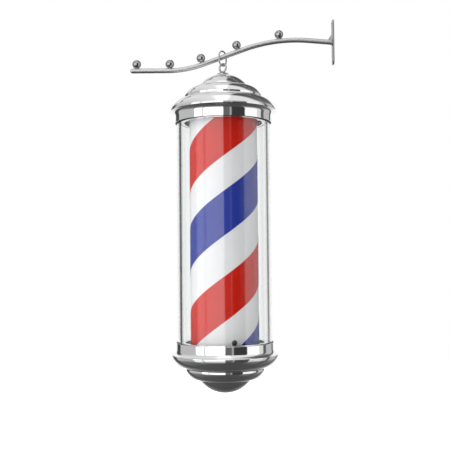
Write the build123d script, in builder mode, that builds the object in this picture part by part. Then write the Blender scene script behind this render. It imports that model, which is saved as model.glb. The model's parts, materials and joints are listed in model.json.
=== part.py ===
from build123d import *
import math
import os

# Hanging barber pole light on a wall bracket. Millimetres, +Z up.
# The origin is the middle of the wall plate's back face. The wall is on the
# +X side, and the pole hangs below the arm on a vertical axis at POLE_X.

# ---- driving dimensions: bracket ----
PLATE_HEIGHT = 100.0
PLATE_WIDTH = 26.0
PLATE_THICKNESS = 3.0
PLATE_CORNER = 9.0
PLATE_HOLE_RADIUS = 2.75
PLATE_HOLE_SPACING = 84.0
PLATE_EDGE_ROUND = 0.8

ARM_RADIUS = 5.5
ARM_WALL = 1.5
ARM_TIP = (-447.0, -60.2)
ARM_LOW_CORNER = (-328.0, -60.2)
ARM_HIGH_CORNER = (-130.0, 11.2)
ARM_WALL_END = (5.0, -0.6)
ARM_LOW_BEND = 240.0
ARM_HIGH_BEND = 340.0
PLUG_LENGTH = 8.0
GUSSET_HEIGHT = 17.0
GUSSET_LENGTH = 13.0
GUSSET_TOE = 6.0
GUSSET_THICKNESS = 5.0
GUSSET_NOSE = 1.0

BALL_RADIUS = 9.75
BALL_SEAT = 0.6
BALL_STATIONS = (-438.0, -364.0, -290.5, -211.0, -120.0)

# ---- driving dimensions: hanging ring and eye bolt ----
POLE_X = -247.0
RING_WIRE = 1.8
RING_WIDTH = 28.2
RING_HEIGHT = 36.0
RING_TURN = 40.0
RING_TOP_CLEARANCE = 7.6
EYE_WIRE = 2.2
EYE_INNER_RADIUS = 7.0
LINK_GAP = 0.3
SHANK_RADIUS = 4.0
NUT_HEIGHT = 6.5
NUT_FLATS = 13.0
SHANK_CHAMFER = 0.8
SHANK_BELOW_NUT = 3.0
SCREW_HOLE_RADIUS = 2.05
SCREW_RADIUS = 2.0
SCREW_HEAD_RADIUS = 3.8
SCREW_HEAD_HEIGHT = 2.4

# ---- driving dimensions: pole ----
TOP_LIP_Z = -153.5
LIP_SPACING = 533.0
BOTTOM_LIP_Z = TOP_LIP_Z - LIP_SPACING
LIP_RADIUS = 118.0
BAND_RADIUS = 107.2
BAND_DEPTH = 26.5
COLLAR_SHEET = 1.5
COVER_SHEET = 1.2
FLANGE_INNER_RADIUS = 92.0
FLANGE_TOP = 1.0
FLANGE_UNDER = -0.5
LIP_UNDER = -1.5

RIM_RADIUS = 117.4
RIM_TAPER = 0.8
RIM_HEIGHT = 5.0
BOWL_MIDDLE = (108.4, 17.4)
BOWL_RADIUS = 88.5
BOWL_HEIGHT = 27.0
STEP_RADIUS = 86.8
STEP_FOOT = 28.4
STEP_SHOULDER = 33.0
STEP_MIDDLE = (78.0, 46.0)
DOME_RADIUS = 57.0
DOME_FOOT = 53.7
DOME_SPHERE = 70.0
CAP_HEIGHT = 83.5
WASHER_RADIUS = 14.0
WASHER_HEIGHT = 4.0
WASHER_CHAMFER = 2.4

TUBE_RADIUS = 103.0
TUBE_WALL = 9.0
TUBE_END = 11.5
SEAT_OPENING = 86.0
SEAT_WALL_RADIUS = 93.5
SEAT_SHEET = 1.5
SEAT_LIP = 3.0
SEAT_DROP = 1.0
SEAT_SIDE_GAP = 0.2
GASKET_TOP = 12.0
GASKET_FOOT = 24.0
FIT_GAP = 0.05

PLATE_DISC_RADIUS = 112.0
PLATE_DISC_SHEET = 2.0
DISC_SCREW_CIRCLE = 104.0
DISC_SCREW_RADIUS = 2.0
DISC_SCREW_HEAD = 4.0
DISC_SCREW_COUNT = 6
DISC_SCREW_LENGTH = 6.0
DISC_SCREW_EDGE = 0.7

# ---- driving dimensions: drum and drive ----
DRUM_RADIUS = 75.0
DRUM_WALL = 1.5
DRUM_TOP_Z = -166.0
DRUM_FOOT_Z = -662.0
STRIPE_THICKNESS = 0.4
STRIPE_LEAD = 350.0
RED_STRIPE_HEIGHT = 95.0
BLUE_STRIPE_HEIGHT = 95.0
RED_FRONT_Z = -563.0
BLUE_FRONT_Z = -382.5
TURNTABLE_RADIUS = 83.5
TURNTABLE_THICKNESS = 3.0
TURNTABLE_RIM = 12.0
TURNTABLE_RIM_WALL = 3.0
TURNTABLE_EDGE = 0.6
DRUM_SCREW_Z = -655.0
DRUM_SCREW_HEAD = 5.8
DRUM_SCREW_SHANK = 2.0
DRUM_SCREW_FRONT = 15.0
DRUM_SCREW_COUNT = 3
DRUM_SCREW_HEIGHT = 3.0
DRUM_SCREW_EDGE = 1.2
DRUM_SCREW_LENGTH = 7.0
DRUM_HOLE_REACH = 10.0
HUB_RADIUS = 12.0
HUB_END_WALL = 3.0
SHAFT_RADIUS = 3.0
RUNNING_GAP = 0.06
THRUST_THICKNESS = 3.0
THRUST_GAP = 0.3
THRUST_BORE_RADIUS = 6.5
THRUST_RADIUS = 14.0
MOTOR_RADIUS = 28.0
MOTOR_HEIGHT = 32.0
MOTOR_SHAFT_END = 8.0
MOTOR_BORE_FLOOR = 6.0
MOTOR_EAR_SHEET = 2.5
MOTOR_EAR_LENGTH = 84.0
MOTOR_EAR_WIDTH = 20.0
MOTOR_SCREW_SPACING = 70.0
BRIDGE_SPAN = 84.0
BRIDGE_WIDTH = 24.0
BRIDGE_DROP = 46.0
BRIDGE_FOOT = 14.0
BRIDGE_SHEET = 2.0
STUD_RADIUS = 3.0
STUD_HEAD_FLATS = 10.0
STUD_HEAD_HEIGHT = 4.0
STUD_END_GAP = 1.5
COVER_NUT_GAP = 0.6

# ---- driving dimensions: lamp ----
LAMP_TUBE_RADIUS = 10.0
LAMP_TUBE_WALL = 1.4
LAMP_TUBE_FOOT_Z = -262.0
LAMP_FLANGE_RADIUS = 22.0
LAMP_FLANGE_HEIGHT = 4.0
HOLDER_RADIUS = 20.0
HOLDER_HEIGHT = 48.0
HOLDER_SHOULDER = 6.0
HOLDER_BORE_GAP = 0.2
HOLDER_BORE_SPARE = 2.0
BULB_BASE_RADIUS = 13.0
BULB_BASE_HEIGHT = 26.0
BULB_RADIUS = 30.0
BULB_LENGTH = 92.0
BULB_NECK = 8.0
BUSH_RADIUS = 14.0
BUSH_OVERHANG = 4.0
SPIDER_Z = -178.0
SPIDER_THICKNESS = 4.0
SPOKE_WIDTH = 12.0
SPIDER_BOSS_WALL = 5.0
SPIDER_RING_WIDTH = 6.0
SPOKE_COUNT = 3
SPOKE_INSET = 2.0
GROMMET_HEIGHT = 14.0
GROMMET_RADIUS = 7.0
GROMMET_BORE = 3.0
GROMMET_LENGTH = 13.0
CABLE_HOLE_RADIUS = 5.0
BLOCK_LENGTH = 30.0
BLOCK_WIDTH = 18.0
BLOCK_HEIGHT = 14.0
BLOCK_OFFSET = 55.0
BLOCK_HOLE_PITCH = (9.5, 10.0)
BLOCK_HOLE_RADIUS = 2.0
BLOCK_HOLE_DEPTH = 6.0

POLE_AXIS = Axis((POLE_X, 0, 0), (0, 0, 1))
POLE_SECTION = Plane(origin=(POLE_X, 0, 0), x_dir=(1, 0, 0), z_dir=(0, -1, 0))
THROUGH = 2000.0
SLANT = math.sqrt(0.5)
SEARCH_STEPS = 40

os.makedirs("parts", exist_ok=True)


def save(piece, name):
    """Label a finished piece and write it as one STEP file."""
    piece.part.label = name
    export_step(piece.part, f"parts/{name}.step")


def level(height):
    """Horizontal plane at a height, centred on the pole's axis."""
    return Plane((POLE_X, 0, height))


def arc_level(lip_z, side, height):
    """Height of a point that is `height` outward from a cap's lip."""
    return lip_z + side * height


def flat_ring(inner_radius, outer_radius, low, high):
    """Plain ring, or a disc where the inner radius is zero, about the pole's axis."""
    with BuildPart() as ring:
        with BuildSketch(level(low)):
            Circle(outer_radius)
            if inner_radius > 0:
                Circle(inner_radius, mode=Mode.SUBTRACT)
        extrude(amount=high - low)
    return ring


def hex_nut(low, high, bore):
    """Hexagon nut on the pole's axis."""
    with BuildPart() as nut:
        with BuildSketch(level(low)):
            RegularPolygon(NUT_FLATS / 2, 6, major_radius=False)
            Circle(bore, mode=Mode.SUBTRACT)
        extrude(amount=high - low)
    return nut


# ================= bracket =================


def make_wall_plate():
    """Upright plate with rounded corners and one screw hole near each end."""
    face = Plane(origin=(0, 0, 0), x_dir=(0, 1, 0), z_dir=(-1, 0, 0))
    with BuildPart() as plate:
        with BuildSketch(face):
            RectangleRounded(PLATE_WIDTH, PLATE_HEIGHT, PLATE_CORNER)
            with GridLocations(0, PLATE_HOLE_SPACING, 1, 2):
                Circle(PLATE_HOLE_RADIUS, mode=Mode.SUBTRACT)
        extrude(amount=PLATE_THICKNESS)
        front_edges = plate.faces().sort_by(Axis.X)[0].outer_wire().edges()
        fillet(front_edges, PLATE_EDGE_ROUND)
    return plate


def arm_path():
    """Centre line of the arm: level at the tip, up a straight slope, over a crest."""
    with BuildLine(Plane.XZ) as path:
        FilletPolyline(
            ARM_TIP,
            ARM_LOW_CORNER,
            ARM_HIGH_CORNER,
            ARM_WALL_END,
            radius=[ARM_LOW_BEND, ARM_HIGH_BEND],
        )
    return path.wire()


def make_bracket_arm(path, inner_radius):
    """Bent round arm, cut off flush with the front of the wall plate."""
    start = Plane(origin=path @ 0, z_dir=path % 0)
    wall_front = Plane(origin=(-PLATE_THICKNESS, 0, 0), z_dir=(1, 0, 0))
    with BuildPart() as arm:
        with BuildSketch(start):
            Circle(ARM_RADIUS)
            if inner_radius > 0:
                Circle(inner_radius, mode=Mode.SUBTRACT)
        sweep(path=path)
        split(bisect_by=wall_front, keep=Keep.BOTTOM)
    return arm


def make_arm_end_plug():
    """Domed plug that closes the arm's free end."""
    bore = ARM_RADIUS - ARM_WALL - FIT_GAP
    tip_x, tip_z = ARM_TIP
    plug_end = tip_x + PLUG_LENGTH
    with BuildPart() as plug:
        with BuildSketch(Plane.XZ):
            with BuildLine():
                Polyline((tip_x - ARM_RADIUS, tip_z), (plug_end, tip_z), (plug_end, tip_z + bore),
                         (tip_x, tip_z + bore), (tip_x, tip_z + ARM_RADIUS))
                CenterArc((tip_x, tip_z), ARM_RADIUS, 90, 90)
            make_face()
        revolve(axis=Axis((tip_x, 0, tip_z), (1, 0, 0)))
    return plug


def make_arm_gusset(solid_arm):
    """Small web on top of the arm where it meets the wall plate."""
    with BuildPart() as gusset:
        with BuildSketch(Plane.XZ):
            with BuildLine():
                Polyline(
                    (-PLATE_THICKNESS, 0),
                    (-PLATE_THICKNESS, GUSSET_HEIGHT),
                    (-2 * PLATE_THICKNESS, GUSSET_HEIGHT - GUSSET_NOSE),
                    (-GUSSET_LENGTH, GUSSET_TOE),
                    (-GUSSET_LENGTH, 0),
                    close=True,
                )
            make_face()
        extrude(amount=GUSSET_THICKNESS / 2, both=True)
        add(solid_arm, mode=Mode.SUBTRACT)
    return gusset


def make_ball(path, solid_arm, station):
    """Ball sunk slightly onto the top of the arm at one place along it."""
    near = path.position_at(arm_parameter(path, station))
    slope = path.tangent_at(arm_parameter(path, station))
    stand_off = ARM_RADIUS + BALL_RADIUS - BALL_SEAT
    centre = near + Vector(-slope.Z, 0, slope.X) * stand_off
    with BuildPart() as ball:
        with Locations(centre):
            Sphere(BALL_RADIUS)
        add(solid_arm, mode=Mode.SUBTRACT)
    return ball


def arm_parameter(path, station):
    """Place along the arm, from 0 to 1, whose centre line is at X = station."""
    low, high = 0.0, 1.0
    for _ in range(SEARCH_STEPS):
        middle = (low + high) / 2
        if (path @ middle).X < station:
            low = middle
        else:
            high = middle
    return low


# ================= hanging ring and eye bolt =================


def turned_plane(angle):
    """Vertical plane through the pole's axis, turned about it; 0 faces the arm's end."""
    across = (math.sin(math.radians(angle)), math.cos(math.radians(angle)), 0)
    facing = (math.cos(math.radians(angle)), -math.sin(math.radians(angle)), 0)
    return Plane(origin=(POLE_X, 0, 0), x_dir=across, z_dir=facing)


def make_hanging_ring(top):
    """Closed oval link of round wire that rides over the arm."""
    half_width = RING_WIDTH / 2 - RING_WIRE
    upper = top - RING_WIRE - half_width
    lower = top - RING_HEIGHT + RING_WIRE + half_width
    plane = turned_plane(RING_TURN)
    with BuildPart() as ring:
        with BuildLine(plane) as loop:
            Line((half_width, lower), (half_width, upper))
            CenterArc((0, upper), half_width, 0, 180)
            Line((-half_width, upper), (-half_width, lower))
            CenterArc((0, lower), half_width, 180, 180)
        path = loop.wire()
        with BuildSketch(Plane(origin=path @ 0, z_dir=path % 0)):
            Circle(RING_WIRE)
        sweep(path=path)
    return ring


def make_eye_bolt(eye_centre_z, shank_foot_z):
    """Eye of round wire on a threaded shank, made as one piece."""
    eye_radius = EYE_INNER_RADIUS + EYE_WIRE
    plane = turned_plane(RING_TURN - 90)
    eye_plane = Plane(origin=(POLE_X, 0, eye_centre_z), x_dir=plane.x_dir, z_dir=plane.z_dir)
    with BuildPart() as bolt:
        with Locations(eye_plane):
            Torus(eye_radius, EYE_WIRE)
        with BuildSketch(level(shank_foot_z)):
            Circle(SHANK_RADIUS)
        extrude(amount=eye_centre_z - eye_radius - EYE_WIRE / 2 - shank_foot_z)
        chamfer(bolt.edges().sort_by(Axis.Z)[0], SHANK_CHAMFER)
    return bolt


def make_eye_washer(seat_z):
    """Turned collar washer between the eye and the top cover."""
    with BuildPart() as washer:
        with BuildSketch(level(seat_z)):
            Circle(WASHER_RADIUS)
            Circle(SHANK_RADIUS + 2 * FIT_GAP, mode=Mode.SUBTRACT)
        extrude(amount=WASHER_HEIGHT)
        rim = washer.edges().filter_by(GeomType.CIRCLE).sort_by(SortBy.RADIUS)[-2:]
        chamfer(rim.sort_by(Axis.Z)[-1], WASHER_CHAMFER)
    return washer


# ================= caps and tube =================


def cover_edges(lip_z, side, inset):
    """Closed outline of a stepped cap, drawn from the rim to the apex and back."""
    def place(radius, height):
        return (radius, arc_level(lip_z, side, height))

    sphere = DOME_SPHERE - inset
    centre = CAP_HEIGHT - DOME_SPHERE
    dome_radius = DOME_RADIUS - inset
    dome_shoulder = centre + math.sqrt(sphere**2 - dome_radius**2)
    dome_middle = dome_radius / 2
    middle_height = centre + math.sqrt(sphere**2 - dome_middle**2)
    diagonal = inset * SLANT
    rim_top = place(RIM_RADIUS - RIM_TAPER - inset, RIM_HEIGHT)
    bowl_middle = place(BOWL_MIDDLE[0] - diagonal, BOWL_MIDDLE[1] - diagonal)
    step_middle = place(STEP_MIDDLE[0] - diagonal, STEP_MIDDLE[1] - diagonal)
    with BuildLine() as outline:
        Polyline(place(0, FLANGE_TOP), place(RIM_RADIUS - inset, FLANGE_TOP), rim_top)
        ThreePointArc(rim_top, bowl_middle, place(BOWL_RADIUS - inset, BOWL_HEIGHT - inset))
        Polyline(place(BOWL_RADIUS - inset, BOWL_HEIGHT - inset),
                 place(STEP_RADIUS - inset, STEP_FOOT - inset),
                 place(STEP_RADIUS - inset, STEP_SHOULDER - inset))
        ThreePointArc(place(STEP_RADIUS - inset, STEP_SHOULDER - inset), step_middle,
                      place(dome_radius, DOME_FOOT - inset))
        Line(place(dome_radius, DOME_FOOT - inset), place(dome_radius, dome_shoulder))
        ThreePointArc(place(dome_radius, dome_shoulder), place(dome_middle, middle_height),
                      place(0, centre + sphere))
        Line(place(0, centre + sphere), place(0, FLANGE_TOP))
    return outline.edges()


def make_cover(lip_z, side):
    """Stepped cap spun from one sheet: bowl, step and dome."""
    with BuildPart() as cover:
        with BuildSketch(POLE_SECTION):
            make_face(cover_edges(lip_z, side, 0.0))
            make_face(cover_edges(lip_z, side, COVER_SHEET), mode=Mode.SUBTRACT)
        revolve(axis=POLE_AXIS)
    return cover


def washer_seat_height():
    """Height above the lip of the flat that carries the eye washer."""
    centre = CAP_HEIGHT - DOME_SPHERE
    return centre + math.sqrt(DOME_SPHERE**2 - WASHER_RADIUS**2)


def make_top_cover():
    """Top cap: a flat at its apex for the eye bolt and a cable hole at the back."""
    cover = make_cover(TOP_LIP_Z, 1)
    flat_z = TOP_LIP_Z + washer_seat_height()
    with BuildPart() as top_cover:
        add(cover.part)
        with BuildSketch(level(flat_z - COVER_SHEET)):
            Circle(WASHER_RADIUS)
        extrude(amount=COVER_SHEET)
        with BuildSketch(level(flat_z)):
            Circle(WASHER_RADIUS)
        extrude(amount=CAP_HEIGHT, mode=Mode.SUBTRACT)
        with BuildSketch(level(TOP_LIP_Z + DOME_FOOT)):
            Circle(SHANK_RADIUS + 2 * FIT_GAP)
        extrude(amount=CAP_HEIGHT, mode=Mode.SUBTRACT)
        with BuildSketch(grommet_plane()):
            Circle(CABLE_HOLE_RADIUS)
        extrude(amount=THROUGH, mode=Mode.SUBTRACT)
    return top_cover


def collar_outline(lip_z, side):
    """Section of a collar: flange, rolled lip, concave flare and straight band."""
    def place(radius, height):
        return (radius, arc_level(lip_z, side, height))

    flare = LIP_RADIUS - BAND_RADIUS
    band_top = LIP_UNDER - flare
    inner_flare = flare + COLLAR_SHEET
    rise = FLANGE_UNDER - band_top
    meet = LIP_RADIUS - math.sqrt(inner_flare**2 - rise**2)
    half_turn = math.asin(rise / inner_flare) / 2
    with BuildLine() as outline:
        Polyline(place(FLANGE_INNER_RADIUS, FLANGE_TOP), place(LIP_RADIUS, FLANGE_TOP),
                 place(LIP_RADIUS, LIP_UNDER))
        ThreePointArc(place(LIP_RADIUS, LIP_UNDER),
                      place(LIP_RADIUS - flare * SLANT, band_top + flare * SLANT),
                      place(BAND_RADIUS, band_top))
        Polyline(place(BAND_RADIUS, band_top), place(BAND_RADIUS, -BAND_DEPTH),
                 place(BAND_RADIUS - COLLAR_SHEET, -BAND_DEPTH),
                 place(BAND_RADIUS - COLLAR_SHEET, band_top))
        ThreePointArc(place(BAND_RADIUS - COLLAR_SHEET, band_top),
                      place(LIP_RADIUS - inner_flare * math.cos(half_turn),
                            band_top + inner_flare * math.sin(half_turn)),
                      place(meet, FLANGE_UNDER))
        Polyline(place(meet, FLANGE_UNDER), place(FLANGE_INNER_RADIUS, FLANGE_UNDER),
                 place(FLANGE_INNER_RADIUS, FLANGE_TOP))
    return outline.edges()


def make_collar(lip_z, side):
    """Turned collar that holds one end of the clear tube."""
    with BuildPart() as collar:
        with BuildSketch(POLE_SECTION):
            make_face(collar_outline(lip_z, side))
        revolve(axis=POLE_AXIS)
        with BuildSketch(level(lip_z - DISC_SCREW_LENGTH)):
            with PolarLocations(DISC_SCREW_CIRCLE, DISC_SCREW_COUNT):
                Circle(DISC_SCREW_RADIUS + FIT_GAP)
        extrude(amount=2 * DISC_SCREW_LENGTH, mode=Mode.SUBTRACT)
    return collar


def make_seat_ring(lip_z, side):
    """Pressed ring inside a collar: a flange over the tube's end and a lip inward."""
    def place(radius, height):
        return (radius, arc_level(lip_z, side, height))

    wall = SEAT_WALL_RADIUS - SEAT_SHEET
    over = BAND_RADIUS - COLLAR_SHEET - SEAT_SIDE_GAP
    foot = -BAND_DEPTH - SEAT_DROP
    with BuildPart() as ring:
        with BuildSketch(POLE_SECTION):
            with BuildLine():
                Polyline(
                    place(wall, FLANGE_UNDER),
                    place(SEAT_WALL_RADIUS, FLANGE_UNDER),
                    place(SEAT_WALL_RADIUS, SEAT_SHEET - TUBE_END),
                    place(over, SEAT_SHEET - TUBE_END),
                    place(over, -TUBE_END),
                    place(SEAT_WALL_RADIUS, -TUBE_END),
                    place(SEAT_WALL_RADIUS, foot),
                    place(SEAT_OPENING, foot),
                    place(SEAT_OPENING, foot + SEAT_LIP),
                    place(wall, foot + SEAT_LIP),
                    close=True,
                )
            make_face()
        revolve(axis=POLE_AXIS)
    return ring


def make_gasket(lip_z, side):
    """Rubber sleeve between the clear tube and a collar."""
    ends = sorted((lip_z - side * GASKET_TOP, lip_z - side * GASKET_FOOT))
    outer = BAND_RADIUS - COLLAR_SHEET - FIT_GAP
    return flat_ring(TUBE_RADIUS + FIT_GAP, outer, ends[0], ends[1])


def make_end_plate(lip_z, side, bore):
    """Round steel plate screwed to a collar's flange, with room for what crosses it."""
    near = lip_z + side * FLANGE_TOP
    ends = sorted((near, near + side * PLATE_DISC_SHEET))
    plain = flat_ring(bore, PLATE_DISC_RADIUS, ends[0], ends[1])
    with BuildPart() as plate:
        add(plain.part)
        with BuildSketch(level(ends[0])):
            with PolarLocations(DISC_SCREW_CIRCLE, DISC_SCREW_COUNT):
                Circle(DISC_SCREW_RADIUS + FIT_GAP)
        extrude(amount=PLATE_DISC_SHEET, mode=Mode.SUBTRACT)
    return plate


def make_plate_screws(lip_z, side):
    """Pan-head screws that hold an end plate to its collar."""
    seat = lip_z + side * (FLANGE_TOP + PLATE_DISC_SHEET)
    up = Plane(origin=(POLE_X, 0, seat), x_dir=(1, 0, 0), z_dir=(0, 0, side))
    with BuildPart() as screws:
        with BuildSketch(up):
            with PolarLocations(DISC_SCREW_CIRCLE, DISC_SCREW_COUNT):
                Circle(DISC_SCREW_HEAD)
        extrude(amount=SCREW_HEAD_HEIGHT)
        with BuildSketch(up):
            with PolarLocations(DISC_SCREW_CIRCLE, DISC_SCREW_COUNT):
                Circle(DISC_SCREW_RADIUS)
        extrude(amount=-DISC_SCREW_LENGTH)
        levels = screws.edges().filter_by(GeomType.CIRCLE).group_by(Axis.Z)
        chamfer(levels[-1 if side > 0 else 0], DISC_SCREW_EDGE)
    return screws


# ================= drum =================


def make_stripe(front_z, stripe_height):
    """Thin helical band on the drum, rising to the right across the front."""
    inner = DRUM_RADIUS + FIT_GAP
    outer = inner + STRIPE_THICKNESS
    spread = 360 * stripe_height / STRIPE_LEAD
    middle = -90 + 360 * (DRUM_FOOT_Z - front_z) / STRIPE_LEAD
    height = DRUM_TOP_Z - DRUM_FOOT_Z
    with BuildSketch(Plane.XY) as section:
        with BuildLine():
            outside = CenterArc((0, 0), outer, middle - spread / 2, spread)
            inside = CenterArc((0, 0), inner, middle - spread / 2, spread)
            Line(inside @ 0, outside @ 0)
            Line(inside @ 1, outside @ 1)
        make_face()
    band = Solid.extrude_linear_with_rotation(
        section.sketch.faces()[0],
        center=(0, 0, 0),
        normal=(0, 0, height),
        angle=360 * height / STRIPE_LEAD,
    )
    with BuildPart() as stripe:
        add(band.moved(Location((POLE_X, 0, DRUM_FOOT_Z))))
        add(drum_screw_holes(), mode=Mode.SUBTRACT)
    return stripe


def drum_screw_planes():
    """Planes facing outward at each drum screw, on the pole's axis."""
    planes = []
    for index in range(DRUM_SCREW_COUNT):
        angle = math.radians(-90 + DRUM_SCREW_FRONT + 360 / DRUM_SCREW_COUNT * index)
        outward = (math.cos(angle), math.sin(angle), 0)
        planes.append(Plane(origin=(POLE_X, 0, DRUM_SCREW_Z), x_dir=(0, 0, 1), z_dir=outward))
    return planes


def drum_screw_holes():
    """Rods that cut the drum screws' clearance holes."""
    with BuildPart() as holes:
        for plane in drum_screw_planes():
            with BuildSketch(plane.offset(DRUM_RADIUS - DRUM_HOLE_REACH)):
                Circle(DRUM_SCREW_SHANK + FIT_GAP)
            extrude(amount=2 * DRUM_HOLE_REACH)
    return holes.part


def make_drum_tube():
    """White drum that carries the stripes."""
    plain = flat_ring(DRUM_RADIUS - DRUM_WALL, DRUM_RADIUS, DRUM_FOOT_Z, DRUM_TOP_Z)
    with BuildPart() as tube:
        add(plain.part)
        add(drum_screw_holes(), mode=Mode.SUBTRACT)
    return tube


def make_turntable():
    """Black disc under the drum, with a rim inside it for the drum screws."""
    rim_outer = DRUM_RADIUS - DRUM_WALL - 2 * FIT_GAP
    with BuildPart() as table:
        with BuildSketch(level(DRUM_FOOT_Z - TURNTABLE_THICKNESS)):
            Circle(TURNTABLE_RADIUS)
        extrude(amount=TURNTABLE_THICKNESS)
        with BuildSketch(level(DRUM_FOOT_Z)):
            Circle(rim_outer)
            Circle(rim_outer - TURNTABLE_RIM_WALL, mode=Mode.SUBTRACT)
        extrude(amount=TURNTABLE_RIM)
        add(drum_screw_holes(), mode=Mode.SUBTRACT)
        outer_edges = table.edges().filter_by(GeomType.CIRCLE).sort_by(SortBy.RADIUS)[-2:]
        chamfer(outer_edges, TURNTABLE_EDGE)
    return table


def make_drum_screws():
    """Dome-head screws round the drum's foot, into the turntable's rim."""
    seat = DRUM_RADIUS + FIT_GAP + STRIPE_THICKNESS + FIT_GAP
    with BuildPart() as screws:
        for plane in drum_screw_planes():
            with BuildSketch(plane.offset(seat)):
                Circle(DRUM_SCREW_HEAD)
            extrude(amount=DRUM_SCREW_HEIGHT)
            with BuildSketch(plane.offset(seat)):
                Circle(DRUM_SCREW_SHANK)
            extrude(amount=-DRUM_SCREW_LENGTH)
        head_rims = screws.edges().filter_by(GeomType.CIRCLE).sort_by(SortBy.RADIUS)
        head_rims = head_rims[-2 * DRUM_SCREW_COUNT:]
        chamfer([rim for rim in head_rims if rim_is_outer(rim, seat)], DRUM_SCREW_EDGE)
    return screws


def rim_is_outer(rim, seat):
    """True for a head's outer edge, which is further from the axis than its seat."""
    centre = rim.arc_center
    return math.hypot(centre.X - POLE_X, centre.Y) > seat + 1


def make_drum_spider():
    """Ring, three spokes and hub that centre the drum's top."""
    ring_outer = DRUM_RADIUS - DRUM_WALL - 2 * FIT_GAP
    with BuildPart() as spider:
        with BuildSketch(level(SPIDER_Z)):
            Circle(ring_outer)
            Circle(ring_outer - SPIDER_RING_WIDTH, mode=Mode.SUBTRACT)
            with PolarLocations(ring_outer / 2, SPOKE_COUNT):
                Rectangle(ring_outer - SPOKE_INSET, SPOKE_WIDTH)
            Circle(BUSH_RADIUS + SPIDER_BOSS_WALL)
            Circle(BUSH_RADIUS + FIT_GAP, mode=Mode.SUBTRACT)
        extrude(amount=SPIDER_THICKNESS)
    return spider


def make_drive_hub(foot_z):
    """Hub under the turntable, blind-bored for the motor shaft."""
    top = DRUM_FOOT_Z - TURNTABLE_THICKNESS
    with BuildPart() as hub:
        with BuildSketch(level(foot_z)):
            Circle(HUB_RADIUS)
        extrude(amount=top - foot_z)
        with BuildSketch(level(foot_z)):
            Circle(SHAFT_RADIUS + FIT_GAP)
        extrude(amount=top - foot_z - HUB_END_WALL, mode=Mode.SUBTRACT)
    return hub


# ================= drive and bottom cover fixing =================


def make_motor(top_z):
    """Geared motor under the bottom plate, with two fixing ears."""
    with BuildPart() as motor:
        with BuildSketch(level(top_z)):
            Circle(MOTOR_RADIUS)
        extrude(amount=-MOTOR_HEIGHT)
        with BuildSketch(level(top_z)):
            SlotOverall(MOTOR_EAR_LENGTH, MOTOR_EAR_WIDTH)
        extrude(amount=-MOTOR_EAR_SHEET)
        with BuildSketch(level(top_z)):
            Circle(SHAFT_RADIUS + RUNNING_GAP)
        extrude(amount=MOTOR_BORE_FLOOR - MOTOR_HEIGHT, mode=Mode.SUBTRACT)
        with BuildSketch(level(top_z)):
            with GridLocations(MOTOR_SCREW_SPACING, 0, 2, 1):
                Circle(SCREW_HOLE_RADIUS)
        extrude(amount=-MOTOR_EAR_SHEET, mode=Mode.SUBTRACT)
    return motor


def make_motor_screws(plate_top_z, ear_under_z):
    """Two screws up through the motor's ears into the bottom plate."""
    with BuildPart() as screws:
        with BuildSketch(level(ear_under_z)):
            with GridLocations(MOTOR_SCREW_SPACING, 0, 2, 1):
                Circle(SCREW_HEAD_RADIUS)
        extrude(amount=-SCREW_HEAD_HEIGHT)
        with BuildSketch(level(ear_under_z)):
            with GridLocations(MOTOR_SCREW_SPACING, 0, 2, 1):
                Circle(SCREW_RADIUS)
        extrude(amount=plate_top_z - ear_under_z)
    return screws


def make_bottom_plate():
    """End plate under the drum, with holes for the shaft, motor and bridge screws."""
    plain = make_end_plate(BOTTOM_LIP_Z, -1, 2 * SHAFT_RADIUS)
    with BuildPart() as plate:
        add(plain.part)
        with BuildSketch(level(BOTTOM_LIP_Z)):
            with GridLocations(MOTOR_SCREW_SPACING, 0, 2, 1):
                Circle(SCREW_HOLE_RADIUS)
            with GridLocations(0, BRIDGE_SPAN + BRIDGE_FOOT, 1, 2):
                Circle(SCREW_HOLE_RADIUS)
        extrude(amount=-2 * PLATE_DISC_SHEET, mode=Mode.SUBTRACT)
    return plate


def make_cover_bridge(top_z):
    """Bent strap round the motor that carries the bottom cover's stud."""
    half = BRIDGE_SPAN / 2
    side = Plane(origin=(POLE_X, 0, top_z), x_dir=(0, 1, 0), z_dir=(1, 0, 0))
    with BuildPart() as bridge:
        with BuildSketch(side):
            with BuildLine():
                Polyline(
                    (-half - BRIDGE_FOOT, 0),
                    (-half + BRIDGE_SHEET, 0),
                    (-half + BRIDGE_SHEET, BRIDGE_SHEET - BRIDGE_DROP),
                    (half - BRIDGE_SHEET, BRIDGE_SHEET - BRIDGE_DROP),
                    (half - BRIDGE_SHEET, 0),
                    (half + BRIDGE_FOOT, 0),
                    (half + BRIDGE_FOOT, -BRIDGE_SHEET),
                    (half, -BRIDGE_SHEET),
                    (half, -BRIDGE_DROP),
                    (-half, -BRIDGE_DROP),
                    (-half, -BRIDGE_SHEET),
                    (-half - BRIDGE_FOOT, -BRIDGE_SHEET),
                    close=True,
                )
            make_face()
        extrude(amount=BRIDGE_WIDTH / 2, both=True)
        with BuildSketch(level(top_z - BRIDGE_DROP)):
            Circle(STUD_RADIUS + FIT_GAP)
        extrude(amount=BRIDGE_SHEET, mode=Mode.SUBTRACT)
        with BuildSketch(level(top_z - BRIDGE_SHEET)):
            with GridLocations(0, BRIDGE_SPAN + BRIDGE_FOOT, 1, 2):
                Circle(SCREW_HOLE_RADIUS)
        extrude(amount=BRIDGE_SHEET, mode=Mode.SUBTRACT)
    return bridge


def make_bridge_screws(plate_top_z, foot_under_z):
    """Two screws through the bridge's feet into the bottom plate."""
    with BuildPart() as screws:
        with BuildSketch(level(foot_under_z)):
            with GridLocations(0, BRIDGE_SPAN + BRIDGE_FOOT, 1, 2):
                Circle(SCREW_HEAD_RADIUS)
        extrude(amount=-SCREW_HEAD_HEIGHT)
        with BuildSketch(level(foot_under_z)):
            with GridLocations(0, BRIDGE_SPAN + BRIDGE_FOOT, 1, 2):
                Circle(SCREW_RADIUS)
        extrude(amount=plate_top_z - foot_under_z)
    return screws


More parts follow.
